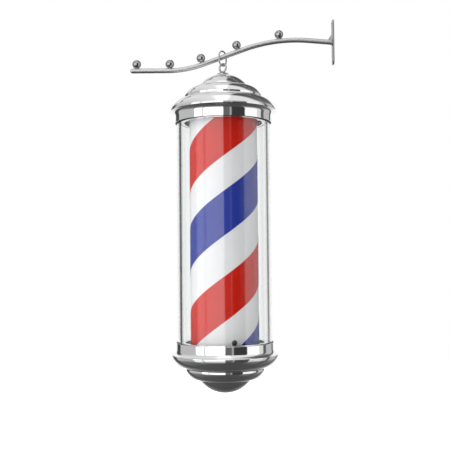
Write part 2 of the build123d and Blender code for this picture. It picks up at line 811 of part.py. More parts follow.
def make_cover_stud(bridge_base_z, foot_z):
    """Headed stud that the bottom cover screws onto."""
    with BuildPart() as stud:
        with BuildSketch(level(bridge_base_z + BRIDGE_SHEET)):
            RegularPolygon(STUD_HEAD_FLATS / 2, 6, major_radius=False)
        extrude(amount=STUD_HEAD_HEIGHT)
        with BuildSketch(level(foot_z)):
            Circle(STUD_RADIUS)
        extrude(amount=bridge_base_z + BRIDGE_SHEET - foot_z)
    return stud


# ================= lamp =================


def make_lamp_holder():
    """Cup-shaped lamp holder below the fixed tube, open downward."""
    foot = LAMP_TUBE_FOOT_Z - HOLDER_HEIGHT
    with BuildPart() as holder:
        with BuildSketch(level(foot)):
            Circle(HOLDER_RADIUS)
        extrude(amount=HOLDER_HEIGHT)
        chamfer(holder.faces().sort_by(Axis.Z)[-1].outer_wire().edges(), HOLDER_SHOULDER)
        with BuildSketch(level(foot)):
            Circle(BULB_BASE_RADIUS + HOLDER_BORE_GAP)
        extrude(amount=BULB_BASE_HEIGHT + HOLDER_BORE_SPARE, mode=Mode.SUBTRACT)
    return holder


def make_bulb_base():
    """Metal screw base of the bulb, inside the holder."""
    foot = LAMP_TUBE_FOOT_Z - HOLDER_HEIGHT
    return flat_ring(0, BULB_BASE_RADIUS, foot, foot + BULB_BASE_HEIGHT)


def make_bulb_envelope():
    """Globe of the bulb below the holder."""
    top = LAMP_TUBE_FOOT_Z - HOLDER_HEIGHT
    globe_z = top - BULB_LENGTH + BULB_RADIUS
    with BuildPart() as bulb:
        with BuildSketch(POLE_SECTION):
            with BuildLine():
                Polyline((0, top - BULB_LENGTH), (0, top), (BULB_BASE_RADIUS, top),
                         (BULB_BASE_RADIUS, top - BULB_NECK))
                Spline((BULB_BASE_RADIUS, top - BULB_NECK), (BULB_RADIUS, globe_z),
                       tangents=((0, -1), (0, -1)))
                RadiusArc((BULB_RADIUS, globe_z), (0, globe_z - BULB_RADIUS), BULB_RADIUS)
            make_face()
        revolve(axis=POLE_AXIS)
    return bulb


def grommet_plane():
    """Plane facing straight back from the pole's axis, at the cable's height."""
    return Plane(origin=(POLE_X, 0, TOP_LIP_Z + GROMMET_HEIGHT), x_dir=(1, 0, 0), z_dir=(0, 1, 0))


def make_cable_grommet(top_cover):
    """Rubber grommet whose groove grips the cable hole in the top cover."""
    with BuildPart() as grommet:
        with BuildSketch(grommet_plane().offset(LIP_RADIUS)):
            Circle(GROMMET_RADIUS)
            Circle(GROMMET_BORE, mode=Mode.SUBTRACT)
        extrude(amount=-GROMMET_LENGTH)
        add(top_cover.part, mode=Mode.SUBTRACT)
    return grommet


def make_terminal_block(plate_top_z):
    """Three-way terminal block on the top plate."""
    with BuildPart() as block:
        with BuildSketch(level(plate_top_z)):
            with Locations((0, BLOCK_OFFSET)):
                Rectangle(BLOCK_LENGTH, BLOCK_WIDTH)
        extrude(amount=BLOCK_HEIGHT)
        with BuildSketch(level(plate_top_z + BLOCK_HEIGHT)):
            with Locations((0, BLOCK_OFFSET)):
                with GridLocations(*BLOCK_HOLE_PITCH, 3, 2):
                    Circle(BLOCK_HOLE_RADIUS)
        extrude(amount=-BLOCK_HOLE_DEPTH, mode=Mode.SUBTRACT)
    return block


# ================= assembly =================

# Bracket: plate, arm, plug, gusset and five balls.
arm_line = arm_path()
arm_solid = make_bracket_arm(arm_line, 0.0).part
save(make_wall_plate(), "wall_plate")
save(make_bracket_arm(arm_line, ARM_RADIUS - ARM_WALL), "bracket_arm")
save(make_arm_end_plug(), "arm_end_plug")
save(make_arm_gusset(arm_solid), "arm_gusset")
for number, ball_station in enumerate(BALL_STATIONS, start=1):
    save(make_ball(arm_line, arm_solid, ball_station), f"ball_{number}")

# Ring over the arm, then the eye bolt linked through it.
hook = arm_line @ arm_parameter(arm_line, POLE_X)
ring_top_z = hook.Z + ARM_RADIUS + RING_TOP_CLEARANCE + RING_WIRE
ring_wire_foot_z = ring_top_z - RING_HEIGHT + RING_WIRE
save(make_hanging_ring(ring_top_z), "hanging_ring")

eye_centre = ring_wire_foot_z + RING_WIRE + LINK_GAP - EYE_INNER_RADIUS
top_plate_z = TOP_LIP_Z + FLANGE_TOP
top_flat_z = TOP_LIP_Z + washer_seat_height()
save(make_eye_bolt(eye_centre, top_plate_z - NUT_HEIGHT - SHANK_BELOW_NUT), "eye_bolt")
save(make_eye_washer(top_flat_z), "eye_washer")
nut_bore = SHANK_RADIUS + FIT_GAP
save(hex_nut(top_plate_z - NUT_HEIGHT, top_plate_z, nut_bore), "eye_nut")
clamp_foot = top_plate_z + PLATE_DISC_SHEET
save(hex_nut(clamp_foot, clamp_foot + NUT_HEIGHT, nut_bore), "plate_lock_nut")

# Two matching ends: cover, collar, seat ring, gasket, plate and screws.
drilled_top_cover = make_top_cover()
save(drilled_top_cover, "top_cover")
save(make_cover(BOTTOM_LIP_Z, -1), "bottom_cover")
for end_name, end_z, end_side in (("top", TOP_LIP_Z, 1), ("bottom", BOTTOM_LIP_Z, -1)):
    save(make_collar(end_z, end_side), f"{end_name}_collar")
    save(make_seat_ring(end_z, end_side), f"{end_name}_seat_ring")
    save(make_gasket(end_z, end_side), f"{end_name}_gasket")
    save(make_plate_screws(end_z, end_side), f"{end_name}_plate_screws")
save(make_end_plate(TOP_LIP_Z, 1, SHANK_RADIUS + FIT_GAP), "top_plate")
save(make_bottom_plate(), "bottom_plate")
tube_ends = (BOTTOM_LIP_Z + TUBE_END, TOP_LIP_Z - TUBE_END)
save(flat_ring(TUBE_RADIUS - TUBE_WALL, TUBE_RADIUS, *tube_ends), "clear_tube")

# Drum and everything that turns with it.
plate_upper_z = BOTTOM_LIP_Z - FLANGE_TOP
plate_lower_z = plate_upper_z - PLATE_DISC_SHEET
hub_foot_z = plate_upper_z + THRUST_THICKNESS + THRUST_GAP
save(make_drum_tube(), "drum_tube")
save(make_stripe(RED_FRONT_Z, RED_STRIPE_HEIGHT), "red_stripe")
save(make_stripe(BLUE_FRONT_Z, BLUE_STRIPE_HEIGHT), "blue_stripe")
save(make_turntable(), "turntable")
save(make_drum_screws(), "drum_screws")
save(make_drum_spider(), "drum_spider")
bush_ends = (SPIDER_Z - BUSH_OVERHANG, SPIDER_Z + SPIDER_THICKNESS + BUSH_OVERHANG)
save(flat_ring(LAMP_TUBE_RADIUS + RUNNING_GAP, BUSH_RADIUS, *bush_ends), "spider_bush")
save(make_drive_hub(hub_foot_z), "drive_hub")
shaft_top_z = DRUM_FOOT_Z - TURNTABLE_THICKNESS - HUB_END_WALL
shaft_ends = (plate_lower_z - MOTOR_HEIGHT + MOTOR_SHAFT_END, shaft_top_z)
save(flat_ring(0, SHAFT_RADIUS, *shaft_ends), "motor_shaft")

# Drive and the fixing of the bottom cover.
save(flat_ring(THRUST_BORE_RADIUS, THRUST_RADIUS, plate_upper_z,
               plate_upper_z + THRUST_THICKNESS), "thrust_washer")
save(make_motor(plate_lower_z), "motor_body")
save(make_motor_screws(plate_upper_z, plate_lower_z - MOTOR_EAR_SHEET), "motor_screws")
save(make_cover_bridge(plate_lower_z), "cover_bridge")
save(make_bridge_screws(plate_upper_z, plate_lower_z - BRIDGE_SHEET), "bridge_screws")
bridge_base = plate_lower_z - BRIDGE_DROP
cover_inside_z = BOTTOM_LIP_Z - CAP_HEIGHT + COVER_SHEET
cover_nut_z = cover_inside_z + COVER_NUT_GAP
save(make_cover_stud(bridge_base, cover_inside_z + STUD_END_GAP), "cover_stud")
save(hex_nut(cover_nut_z, cover_nut_z + NUT_HEIGHT, STUD_RADIUS + FIT_GAP), "cover_nut")

# Lamp on its fixed tube inside the drum, and the mains entry.
lamp_tube_ends = (LAMP_TUBE_FOOT_Z, top_plate_z)
save(flat_ring(LAMP_TUBE_RADIUS - LAMP_TUBE_WALL, LAMP_TUBE_RADIUS, *lamp_tube_ends), "lamp_tube")
save(flat_ring(LAMP_TUBE_RADIUS + FIT_GAP, LAMP_FLANGE_RADIUS, top_plate_z - LAMP_FLANGE_HEIGHT,
               top_plate_z), "lamp_flange")
save(make_lamp_holder(), "lamp_holder")
save(make_bulb_base(), "bulb_base")
save(make_bulb_envelope(), "bulb_envelope")
save(make_cable_grommet(drilled_top_cover), "cable_grommet")
save(make_terminal_block(clamp_foot), "terminal_block")
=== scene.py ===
import json
import math

import bmesh
import bpy
import numpy as np
from mathutils import Matrix, Vector


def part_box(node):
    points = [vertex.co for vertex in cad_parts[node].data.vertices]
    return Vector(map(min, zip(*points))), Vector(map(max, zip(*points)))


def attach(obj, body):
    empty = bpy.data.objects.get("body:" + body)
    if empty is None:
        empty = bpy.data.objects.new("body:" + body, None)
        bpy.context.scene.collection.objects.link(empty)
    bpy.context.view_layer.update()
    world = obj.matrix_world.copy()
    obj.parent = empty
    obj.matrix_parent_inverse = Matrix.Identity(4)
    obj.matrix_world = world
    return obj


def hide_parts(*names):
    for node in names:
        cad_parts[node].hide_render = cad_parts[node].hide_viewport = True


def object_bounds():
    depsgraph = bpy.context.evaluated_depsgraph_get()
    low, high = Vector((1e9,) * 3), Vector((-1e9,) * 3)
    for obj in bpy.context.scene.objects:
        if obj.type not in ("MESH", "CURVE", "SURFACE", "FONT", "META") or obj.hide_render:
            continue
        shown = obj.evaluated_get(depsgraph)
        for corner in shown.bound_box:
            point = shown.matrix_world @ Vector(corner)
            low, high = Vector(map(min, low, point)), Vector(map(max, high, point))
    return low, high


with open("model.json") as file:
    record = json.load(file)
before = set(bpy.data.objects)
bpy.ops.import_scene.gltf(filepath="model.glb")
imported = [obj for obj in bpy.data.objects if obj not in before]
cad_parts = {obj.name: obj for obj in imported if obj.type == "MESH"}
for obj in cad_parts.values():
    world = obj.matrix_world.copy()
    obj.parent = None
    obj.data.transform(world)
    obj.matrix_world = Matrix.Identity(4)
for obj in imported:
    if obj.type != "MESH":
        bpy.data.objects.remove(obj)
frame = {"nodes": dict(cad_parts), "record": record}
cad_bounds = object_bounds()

# A hanging barber pole light, in metres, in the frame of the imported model.
# Profiles are written in millimetres, as (radius, height) pairs, and scaled by MM.
MM = 0.001

# The heights of the caps' and collars' outlines count from a collar's lip; its flange ends
# this far above that, and the cover starts there.
FLANGE_TOP = 1.0

# ---- places read from the frame ----
TUBE_LOW, TUBE_HIGH = (Vector(corner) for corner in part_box("clear_tube"))
POLE_X = (TUBE_LOW.x + TUBE_HIGH.x) / 2
TOP_LIP_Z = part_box("top_cover")[0][2] - FLANGE_TOP * MM
BOTTOM_LIP_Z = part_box("bottom_cover")[1][2] + FLANGE_TOP * MM
DRUM_LOW, DRUM_HIGH = (Vector(corner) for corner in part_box("drum_tube"))

# ---- sizes of the turned pieces, in millimetres ----
LIP_RADIUS = 118.0
BAND_RADIUS = 107.2
BAND_DEPTH = 26.5
COLLAR_SHEET = 1.5
COVER_SHEET = 1.2
FLANGE_INNER = 92.0
FLANGE_UNDER = -0.5
LIP_UNDER = -1.5
# A cover's outline, from its apex to its rim: dome, step, bowl, rim.
CAP_HEIGHT = 83.5
RIM_RADIUS = 117.4
RIM_TAPER = 0.8
RIM_HEIGHT = 5.0
BOWL_MIDDLE = (108.4, 17.4)
BOWL_RADIUS = 88.5
BOWL_HEIGHT = 27.0
STEP_RADIUS = 86.8
STEP_FOOT = 28.4
STEP_SHOULDER = 33.0
STEP_MIDDLE = (78.0, 46.0)
DOME_FOOT = 53.7
DOME_SPHERE = 70.0
DOME_RADIUS = 57.0
WASHER_RADIUS = 14.0
WASHER_SLOPE = 2.4
BOLT_HOLE = 4.1
TUBE_RADIUS = 103.0
TUBE_WALL = 9.0
TUBE_END = 11.5
SEAT_WALL_RADIUS = 93.5
SEAT_OPENING = 86.0
SEAT_SHEET = 1.5
SEAT_LIP = 3.0
SEAT_ROOM = 0.2
SEAT_DROP = 1.0
DRUM_RADIUS = 75.0
DRUM_WALL = 1.5
STRIPE_GAP = 0.05
STRIPE_THICKNESS = 0.4
STRIPE_LEAD = 350.0
STRIPE_HEIGHT = 95.0
# Height of each stripe's middle at the front of the drum, in the model's frame.
RED_FRONT_Z = -563.0
BLUE_FRONT_Z = -382.5
CABLE_HOLE_RADIUS = 5.0
DRILL_LENGTH = 60.0

# ---- how far corners are rounded, in millimetres ----
COVER_ROUND = 1.1
COLLAR_ROUND = 0.8
SEAT_ROUND = 0.5
TUBE_ROUND = 0.8
DRUM_ROUND = 0.4
WASHER_ROUND = 0.6

# ---- sizes of the bracket and its fittings, in millimetres; turns in degrees ----
ARM_RADIUS = 5.5
# The arm's centre line as (x, z): its tip, its two bends and the wall; then the bends' radii.
ARM_CORNERS = ((-447.0, -60.2), (-328.0, -60.2), (-130.0, 11.2), (5.0, -0.6))
ARM_BENDS = (240.0, 340.0)
PLATE_THICKNESS = 3.0
# How far the arm's end goes into the wall plate.
ARM_SINK = 1.0
BALL_RADIUS = 9.75
BALL_COUNT = 5
RING_WIRE = 1.8
RING_WIDTH = 28.2
RING_TURN = 40.0
EYE_WIRE = 2.2
EYE_INNER_RADIUS = 7.0
SHANK_RADIUS = 4.0
SHANK_BEVEL = 0.8
# Weld bead: its radius from the arm and along it, its place, and its ripples.
WELD_BEAD = 1.5
WELD_DEPTH = 1.3
WELD_LIFT = 0.2
WELD_OFFSET = 0.4
WELD_RIPPLE = 0.18
WELD_RIPPLES = 30
DRUM_SCREW_COUNT = 3
DRUM_SCREW_FRONT = 15.0
DRUM_SCREW_HEAD = 5.8

# ---- outlines of small turned pieces, as (radius, height) in millimetres ----
# Rim of the arm's end cap, behind its dome.
CAP_RIM = ((ARM_RADIUS, -0.3), (ARM_RADIUS - 0.35, -0.5), (ARM_RADIUS - 0.35, -0.9), (0, -0.9))
# Neck of a ball, from the ball's centre down into the arm.
BALL_NECK = ((3.9, -8.94), (3.75, -9.3), (3.9, -9.8), (4.3, -10.6), (4.4, -11.6), (0, -11.6))
# Neck of the eye bolt, from the foot of its eye.
BOLT_NECK = ((0, 0.4), (2.3, 0), (2.9, -1.6), (SHANK_RADIUS, -3.2))
# Drum screw, from where its head sits: six-sided socket, domed head, shank.
SCREW_SOCKET = ((0, 0.9), (2.0, 0.9), (2.05, 1.1), (2.1, 2.75))
SCREW_DOME = ((2.35, 3.0), (3.4, 2.8), (4.5, 2.25), (5.3, 1.45), (DRUM_SCREW_HEAD, 0.5),
              (DRUM_SCREW_HEAD, 0.0))
SCREW_SHANK = ((2.0, 0.0), (2.0, -7.0), (0, -7.0))

# ---- how finely the meshes are divided ----
SMOOTH_SEGMENTS = 224
WASHER_SEGMENTS = 128
BALL_SEGMENTS = 96
SCREW_SEGMENTS = 72
SMALL_SEGMENTS = 64
ARM_SEGMENTS = 48
DRILL_SEGMENTS = 48
WIRE_SEGMENTS = 32
WELD_SEGMENTS = 120
BEAD_SEGMENTS = 12
STRIPE_ROWS = 220
STRIPE_COLUMNS = 54
RING_STEPS = 48
EYE_STEPS = 96
BALL_STEPS = 48
ARM_STEP = 6.0
ARM_SEARCH_STEP = 0.5
# Rounding of corners: points to a radius, then the reach and spread of the blur in points.
ROUND_STEPS = 5
ROUND_REACH = 12
ROUND_SPREAD = 3.0
# How far a point may be left off a straight run, and the most points a run may span.
THIN_TOLERANCE = 0.012
THIN_SPAN = 40
# Angles past which an edge is shown sharp, in degrees.
METAL_CREASE = 50
FILM_CREASE = 40
SCREW_CREASE = 38
# Voxels that blend the eye into its neck, in millimetres, and the smoothing passes after.
EYE_VOXEL = 0.35
EYE_SMOOTHING = 6

# ---- camera: lens in millimetres, place in metres, tilt in degrees ----
LENS = 64.0
SENSOR = 36.0
CAMERA_OFFSET_X = 0.002
CAMERA_DISTANCE = 1.76
CAMERA_HEIGHT = -0.481
CAMERA_PITCH = 2.5
CAMERA_ROLL = -0.5


def make_camera():
    """Camera looking along +Y, tilted slightly up."""
    data = bpy.data.cameras.new("view_camera")
    data.lens = LENS
    data.sensor_width = SENSOR
    data.clip_start = 0.01
    camera = bpy.data.objects.new("view_camera", data)
    bpy.context.scene.collection.objects.link(camera)
    pitch = Matrix.Rotation(math.radians(90 + CAMERA_PITCH), 4, "X")
    roll = Matrix.Rotation(math.radians(CAMERA_ROLL), 4, "Z")
    place = Matrix.Translation((POLE_X + CAMERA_OFFSET_X, -CAMERA_DISTANCE, CAMERA_HEIGHT))
    camera.matrix_world = place @ pitch @ roll
    bpy.context.scene.camera = camera


make_camera()


# ================= light =================


def ramp_node(nodes, stops):
    """Colour ramp with grey stops, each (position, value)."""
    ramp = nodes.new("ShaderNodeValToRGB")
    elements = ramp.color_ramp.elements
    while len(elements) > 1:
        elements.remove(elements[-1])
    elements[0].position = stops[0][0]
    elements[0].color = (stops[0][1],) * 3 + (1,)
    for position, value in stops[1:]:
        element = elements.new(position)
        element.color = (value,) * 3 + (1,)
    return ramp


def math_node(nodes, links, operation, first, second):
    """Math node fed by sockets or plain numbers."""
    node = nodes.new("ShaderNodeMath")
    node.operation = operation
    for index, value in enumerate((first, second)):
        if isinstance(value, (int, float)):
            node.inputs[index].default_value = value
        else:
            links.new(value, node.inputs[index])
    return node.outputs[0]


def panel_stops(panels):
    """Ramp stops for studio panels given as (start degree, value), with short soft edges."""
    stops = [(0.0, panels[0][1])]
    for index in range(1, len(panels)):
        start = (panels[index][0] + 180) / 360
        soft = PANEL_EDGE / 360
        stops.append((start - soft, panels[index - 1][1]))
        stops.append((start + soft, panels[index][1]))
    return stops


# What the polished metal and the tube mirror near the horizon, by compass angle from the
# camera's side; negative angles are to the left. Values are shares of STUDIO_POWER.
STUDIO_PANELS = (
    (-180, 0.39),
    (-150, 0.03),
    (-127, 0.215),
    (-71, 0.62),
    (-49.5, 0.22),
    (-46.5, 0.62),
    (0, 0.055),
    (15.5, 0.17),
    (19.5, 0.017),
    (52, 0.44),
    (86, 0.30),
    (99, 0.05),
    (110, 0.21),
    (138, 0.05),
    (149, 0.39),
)
STUDIO_POWER = 2.6
# Half the width of a panel's soft edge, in degrees.
PANEL_EDGE = 0.6
# Overhead and behind, by how far a direction points to the right, from -1 to 1.
OVERHEAD = ((-1.0, 0.22), (-0.45, 0.33), (0.10, 0.28), (0.17, 0.035), (0.6, 0.05),
            (1.0, 0.16))
# Straight overhead and in front, in the same way: a long lamp above the bench.
CEILING = ((-1.0, 0.25), (-0.27, 0.34), (-0.17, 0.46), (0.12, 0.46), (0.2, 0.335),
           (1.0, 0.335))
# How far back, from -1 to 1, the lamp gives way to what hangs behind it.
CEILING_END = (-0.04, 0.14)
# Below, in the same way: a light bench to the left and a dark room to the right.
UNDERNEATH = ((-1.0, 0.06), (-0.5, 0.035), (0.1, 0.028), (1.0, 0.035))
# Heights, from -1 to 1, over which one region of the studio turns into the next.
OVERHEAD_RISE = (0.34, 0.52)
UNDERNEATH_RISE = (-0.85, -0.26)
# Share of the upper studio halfway through the lower of these two changes.
UNDERNEATH_MIDDLE = 0.16
# What lights the matt surfaces, by compass angle.
SOFT_PANELS = ((-180, 0.45), (-120, 0.45), (-80, 0.75), (-45, 1.0), (-5, 0.62), (30, 0.29),
               (120, 0.34))
SOFT_POWER = 2.75


def signed_stops(values):
    """Ramp stops for values given from -1 to 1."""
    return [((place + 1) / 2, value) for place, value in values]


def blend_colours(nodes, links, factor, first, second):
    """Mix of two colour sockets by a factor socket."""
    mix = nodes.new("ShaderNodeMix")
    mix.data_type = "RGBA"
    links.new(factor, mix.inputs["Factor"])
    links.new(first, mix.inputs["A"])
    links.new(second, mix.inputs["B"])
    return mix.outputs["Result"]


def sharp_studio(nodes, links, turn, across, back, height):
    """Colour that shiny surfaces mirror in each direction."""
    panels = ramp_node(nodes, panel_stops(STUDIO_PANELS))
    links.new(turn, panels.inputs[0])
    overhead = ramp_node(nodes, signed_stops(OVERHEAD))
    links.new(across, overhead.inputs[0])
    ceiling = ramp_node(nodes, signed_stops(CEILING))
    links.new(across, ceiling.inputs[0])
    start, end = CEILING_END
    behind = ramp_node(nodes, signed_stops(((-1.0, 0.0), (start, 0.0), (end, 1.0))))
    links.new(back, behind.inputs[0])
    above = blend_colours(nodes, links, behind.outputs["Color"], ceiling.outputs["Color"],
                          overhead.outputs["Color"])
    underneath = ramp_node(nodes, signed_stops(UNDERNEATH))
    links.new(across, underneath.inputs[0])
    low, high = OVERHEAD_RISE
    rise = ramp_node(nodes, signed_stops(((-1.0, 0.0), (low, 0.0), (high, 1.0))))
    links.new(height, rise.inputs[0])
    low, high = UNDERNEATH_RISE
    middle = (low + high) / 2
    fall = ramp_node(nodes, signed_stops(((-1.0, 0.0), (low, 0.0), (middle, UNDERNEATH_MIDDLE),
                                          (high, 1.0))))
    links.new(height, fall.inputs[0])
    upper = blend_colours(nodes, links, rise.outputs["Color"], panels.outputs["Color"], above)
    return blend_colours(nodes, links, fall.outputs["Color"], underneath.outputs["Color"], upper)


def half_scale(nodes, links, source):
    """Moves a value from -1 to 1 into 0 to 1."""
    halved = math_node(nodes, links, "MULTIPLY", source, 0.5)
    return math_node(nodes, links, "ADD", halved, 0.5)


def make_world():
    """Soft studio: a white ground for the camera, bright and dark panels for reflections."""
    world = bpy.data.worlds.new("studio")
    bpy.context.scene.world = world
    world.use_nodes = True
    nodes, links = world.node_tree.nodes, world.node_tree.links
    nodes.clear()
    coordinate = nodes.new("ShaderNodeTexCoord")
    split = nodes.new("ShaderNodeSeparateXYZ")
    links.new(coordinate.outputs["Generated"], split.inputs[0])
    toward_camera = math_node(nodes, links, "MULTIPLY", split.outputs["Y"], -1.0)
    turn = math_node(nodes, links, "ARCTAN2", split.outputs["X"], toward_camera)
    turn = half_scale(nodes, links, math_node(nodes, links, "DIVIDE", turn, math.pi))
    across = half_scale(nodes, links, split.outputs["X"])
    back = half_scale(nodes, links, split.outputs["Y"])
    height = half_scale(nodes, links, split.outputs["Z"])
    mirrored = sharp_studio(nodes, links, turn, across, back, height)
    soft = ramp_node(nodes, [((angle + 180) / 360, value) for angle, value in SOFT_PANELS])
    links.new(turn, soft.inputs[0])

    path = nodes.new("ShaderNodeLightPath")
    diffuse = math_node(nodes, links, "GREATER_THAN", path.outputs["Diffuse Depth"], 0.5)
    seen = blend_colours(nodes, links, diffuse, mirrored, soft.outputs["Color"])
    strength = nodes.new("ShaderNodeMix")
    links.new(diffuse, strength.inputs["Factor"])
    strength.inputs["A"].default_value = STUDIO_POWER
    strength.inputs["B"].default_value = SOFT_POWER

    studio = nodes.new("ShaderNodeBackground")
    links.new(seen, studio.inputs["Color"])
    links.new(strength.outputs["Result"], studio.inputs["Strength"])
    ground = nodes.new("ShaderNodeBackground")
    ground.inputs["Color"].default_value = (1, 1, 1, 1)
    ground.inputs["Strength"].default_value = 1.0
    mix = nodes.new("ShaderNodeMixShader")
    links.new(path.outputs["Is Camera Ray"], mix.inputs[0])
    links.new(studio.outputs[0], mix.inputs[1])
    links.new(ground.outputs[0], mix.inputs[2])
    output = nodes.new("ShaderNodeOutputWorld")
    links.new(mix.outputs[0], output.inputs["Surface"])
    scene = bpy.context.scene
    scene.view_settings.view_transform = "Standard"
    scene.view_settings.look = "None"


# Floor, in metres: half its side, and how far it lies below the pole.
FLOOR_HALF = 6.0
FLOOR_DROP = 0.7
FLOOR_GREY = (0.9, 0.9, 0.9)
FLOOR_GLOW = 0.6


def make_floor():
    """Plain pale floor far below the hanging pole."""
    mesh = bpy.data.meshes.new("floor")
    half = FLOOR_HALF
    z = cad_bounds[0][2] - FLOOR_DROP
    mesh.from_pydata([(-half, -half, z), (half, -half, z), (half, half, z), (-half, half, z)],
                     [], [(0, 1, 2, 3)])
    floor = bpy.data.objects.new("floor", mesh)
    bpy.context.scene.collection.objects.link(floor)
    material = bpy.data.materials.new("pale_floor")
    material.use_nodes = True
    shader = material.node_tree.nodes["Principled BSDF"]
    shader.inputs["Base Color"].default_value = (*FLOOR_GREY, 1)
    shader.inputs["Roughness"].default_value = 0.9
    shader.inputs["Emission Color"].default_value = (1, 1, 1, 1)
    shader.inputs["Emission Strength"].default_value = FLOOR_GLOW
    mesh.materials.append(material)
    floor.visible_glossy = False
    floor.visible_transmission = False
    floor.visible_diffuse = False


make_world()
make_floor()


# ================= materials =================

# The part of 0 to 1 that a noise really fills.
NOISE_RANGE = (0.3, 0.7)


def new_material(name, base, roughness, metallic=0.0):
    """Principled material; returns the material, its nodes, its links and its shader."""
    material = bpy.data.materials.new(name)
    material.use_nodes = True
    nodes, links = material.node_tree.nodes, material.node_tree.links
    shader = nodes["Principled BSDF"]
    shader.inputs["Base Color"].default_value = (*base, 1)
    shader.inputs["Roughness"].default_value = roughness
    shader.inputs["Metallic"].default_value = metallic
    return material, nodes, links, shader


def object_noise(nodes, links, scale, detail=4.0, stretch=(1, 1, 1)):
    """Noise in object space, stretched along the axes as asked."""
    coordinate = nodes.new("ShaderNodeTexCoord")
    mapping = nodes.new("ShaderNodeMapping")
    mapping.inputs["Scale"].default_value = stretch
    noise = nodes.new("ShaderNodeTexNoise")
    noise.inputs["Scale"].default_value = scale
    noise.inputs["Detail"].default_value = detail
    links.new(coordinate.outputs["Object"], mapping.inputs["Vector"])
    links.new(mapping.outputs["Vector"], noise.inputs["Vector"])
    return noise.outputs["Fac"]


def vary_roughness(nodes, links, shader, source, low, high):
    """Roughness that follows a noise between two values."""
    spread = nodes.new("ShaderNodeMapRange")
    spread.inputs["From Min"].default_value = NOISE_RANGE[0]
    spread.inputs["From Max"].default_value = NOISE_RANGE[1]
    spread.inputs["To Min"].default_value = low
    spread.inputs["To Max"].default_value = high
    links.new(source, spread.inputs["Value"])
    links.new(spread.outputs["Result"], shader.inputs["Roughness"])


def vary_colour(nodes, links, shader, source, first, second):
    """Base colour that follows a source between two colours."""
    mix = nodes.new("ShaderNodeMix")
    mix.data_type = "RGBA"
    mix.inputs["A"].default_value = (*first, 1)
    mix.inputs["B"].default_value = (*second, 1)
    links.new(source, mix.inputs["Factor"])
    links.new(mix.outputs["Result"], shader.inputs["Base Color"])


def darker(base, share):
    """A colour at a share of its strength."""
    return tuple(channel * share for channel in base)


def add_bump(nodes, links, shader, source, strength, distance):
    """Small surface relief from a source; the distance is in metres."""
    bump = nodes.new("ShaderNodeBump")
    bump.inputs["Strength"].default_value = strength
    bump.inputs["Distance"].default_value = distance
    links.new(source, bump.inputs["Height"])
    links.new(bump.outputs["Normal"], shader.inputs["Normal"])


def polished_chrome(name, base, wave):
    """Mirror chrome with faint spinning waves and wipe marks."""
    material, nodes, links, shader = new_material(name, base, roughness=0.03, metallic=1.0)
    wipe = object_noise(nodes, links, scale=30, detail=5, stretch=(1, 1, 3))
    vary_roughness(nodes, links, shader, wipe, low=0.015, high=0.05)
    ripple = object_noise(nodes, links, scale=22, detail=2, stretch=(1, 1, 2.5))
    add_bump(nodes, links, shader, ripple, strength=wave, distance=0.0006)
    return material


def satin_steel(name, base, along, low, high):
    """Steel with a fine grain, brushed along the axis that the noise is squeezed on."""
    material, nodes, links, shader = new_material(name, base, roughness=0.27, metallic=1.0)
    grain = object_noise(nodes, links, scale=900, detail=3, stretch=along)
    vary_roughness(nodes, links, shader, grain, low, high)
    vary_colour(nodes, links, shader, grain, darker(base, 0.96), base)
    add_bump(nodes, links, shader, grain, strength=0.005, distance=0.00001)
    return material


def moulded(name, base, roughness, speckle=0.06, bump=0.12, scale=600):
    """Moulded plastic or rubber with a fine skin."""
    material, nodes, links, shader = new_material(name, base, roughness)
    skin = object_noise(nodes, links, scale, detail=3)
    vary_roughness(nodes, links, shader, skin, roughness - speckle, roughness + speckle)
    vary_colour(nodes, links, shader, skin, darker(base, 0.9), base)
    add_bump(nodes, links, shader, skin, bump, distance=0.0001)
    return material


def gloss_film(name, base):
    """Glossy printed film or drum lacquer: even colour with slight mottling."""
    material, nodes, links, shader = new_material(name, base, 0.15)
    mottle = object_noise(nodes, links, scale=60)
    vary_colour(nodes, links, shader, mottle, darker(base, 0.93), base)
    vary_roughness(nodes, links, shader, mottle, low=0.10, high=0.20)
    shader.inputs["Specular IOR Level"].default_value = 0.19
    peel = object_noise(nodes, links, scale=260, detail=2)
    add_bump(nodes, links, shader, peel, strength=0.05, distance=0.0001)
    return material


def clear_acrylic():
    """Clear tube wall."""
    material, nodes, links, shader = new_material("clear_acrylic", (0.985, 0.992, 0.99), 0.0)
    shader.inputs["Transmission Weight"].default_value = 1.0
    shader.inputs["IOR"].default_value = 1.49
    haze = object_noise(nodes, links, scale=9, detail=3, stretch=(1, 1, 0.3))
    vary_colour(nodes, links, shader, haze, (0.975, 0.985, 0.985), (0.99, 0.995, 0.995))
    return material


def frosted_bulb():
    """Frosted lamp glass, unlit."""
    material, nodes, links, shader = new_material("frosted_glass", (0.92, 0.91, 0.88), 0.4)
    shader.inputs["Subsurface Weight"].default_value = 0.2
    frost = object_noise(nodes, links, scale=900, detail=2)
    vary_roughness(nodes, links, shader, frost, low=0.32, high=0.5)
    return material


# Which way the brushed lines of a steel run.
ALONG_X, ALONG_Z, EVEN = (0.2, 3, 3), (3, 3, 0.2), (1, 1, 1)

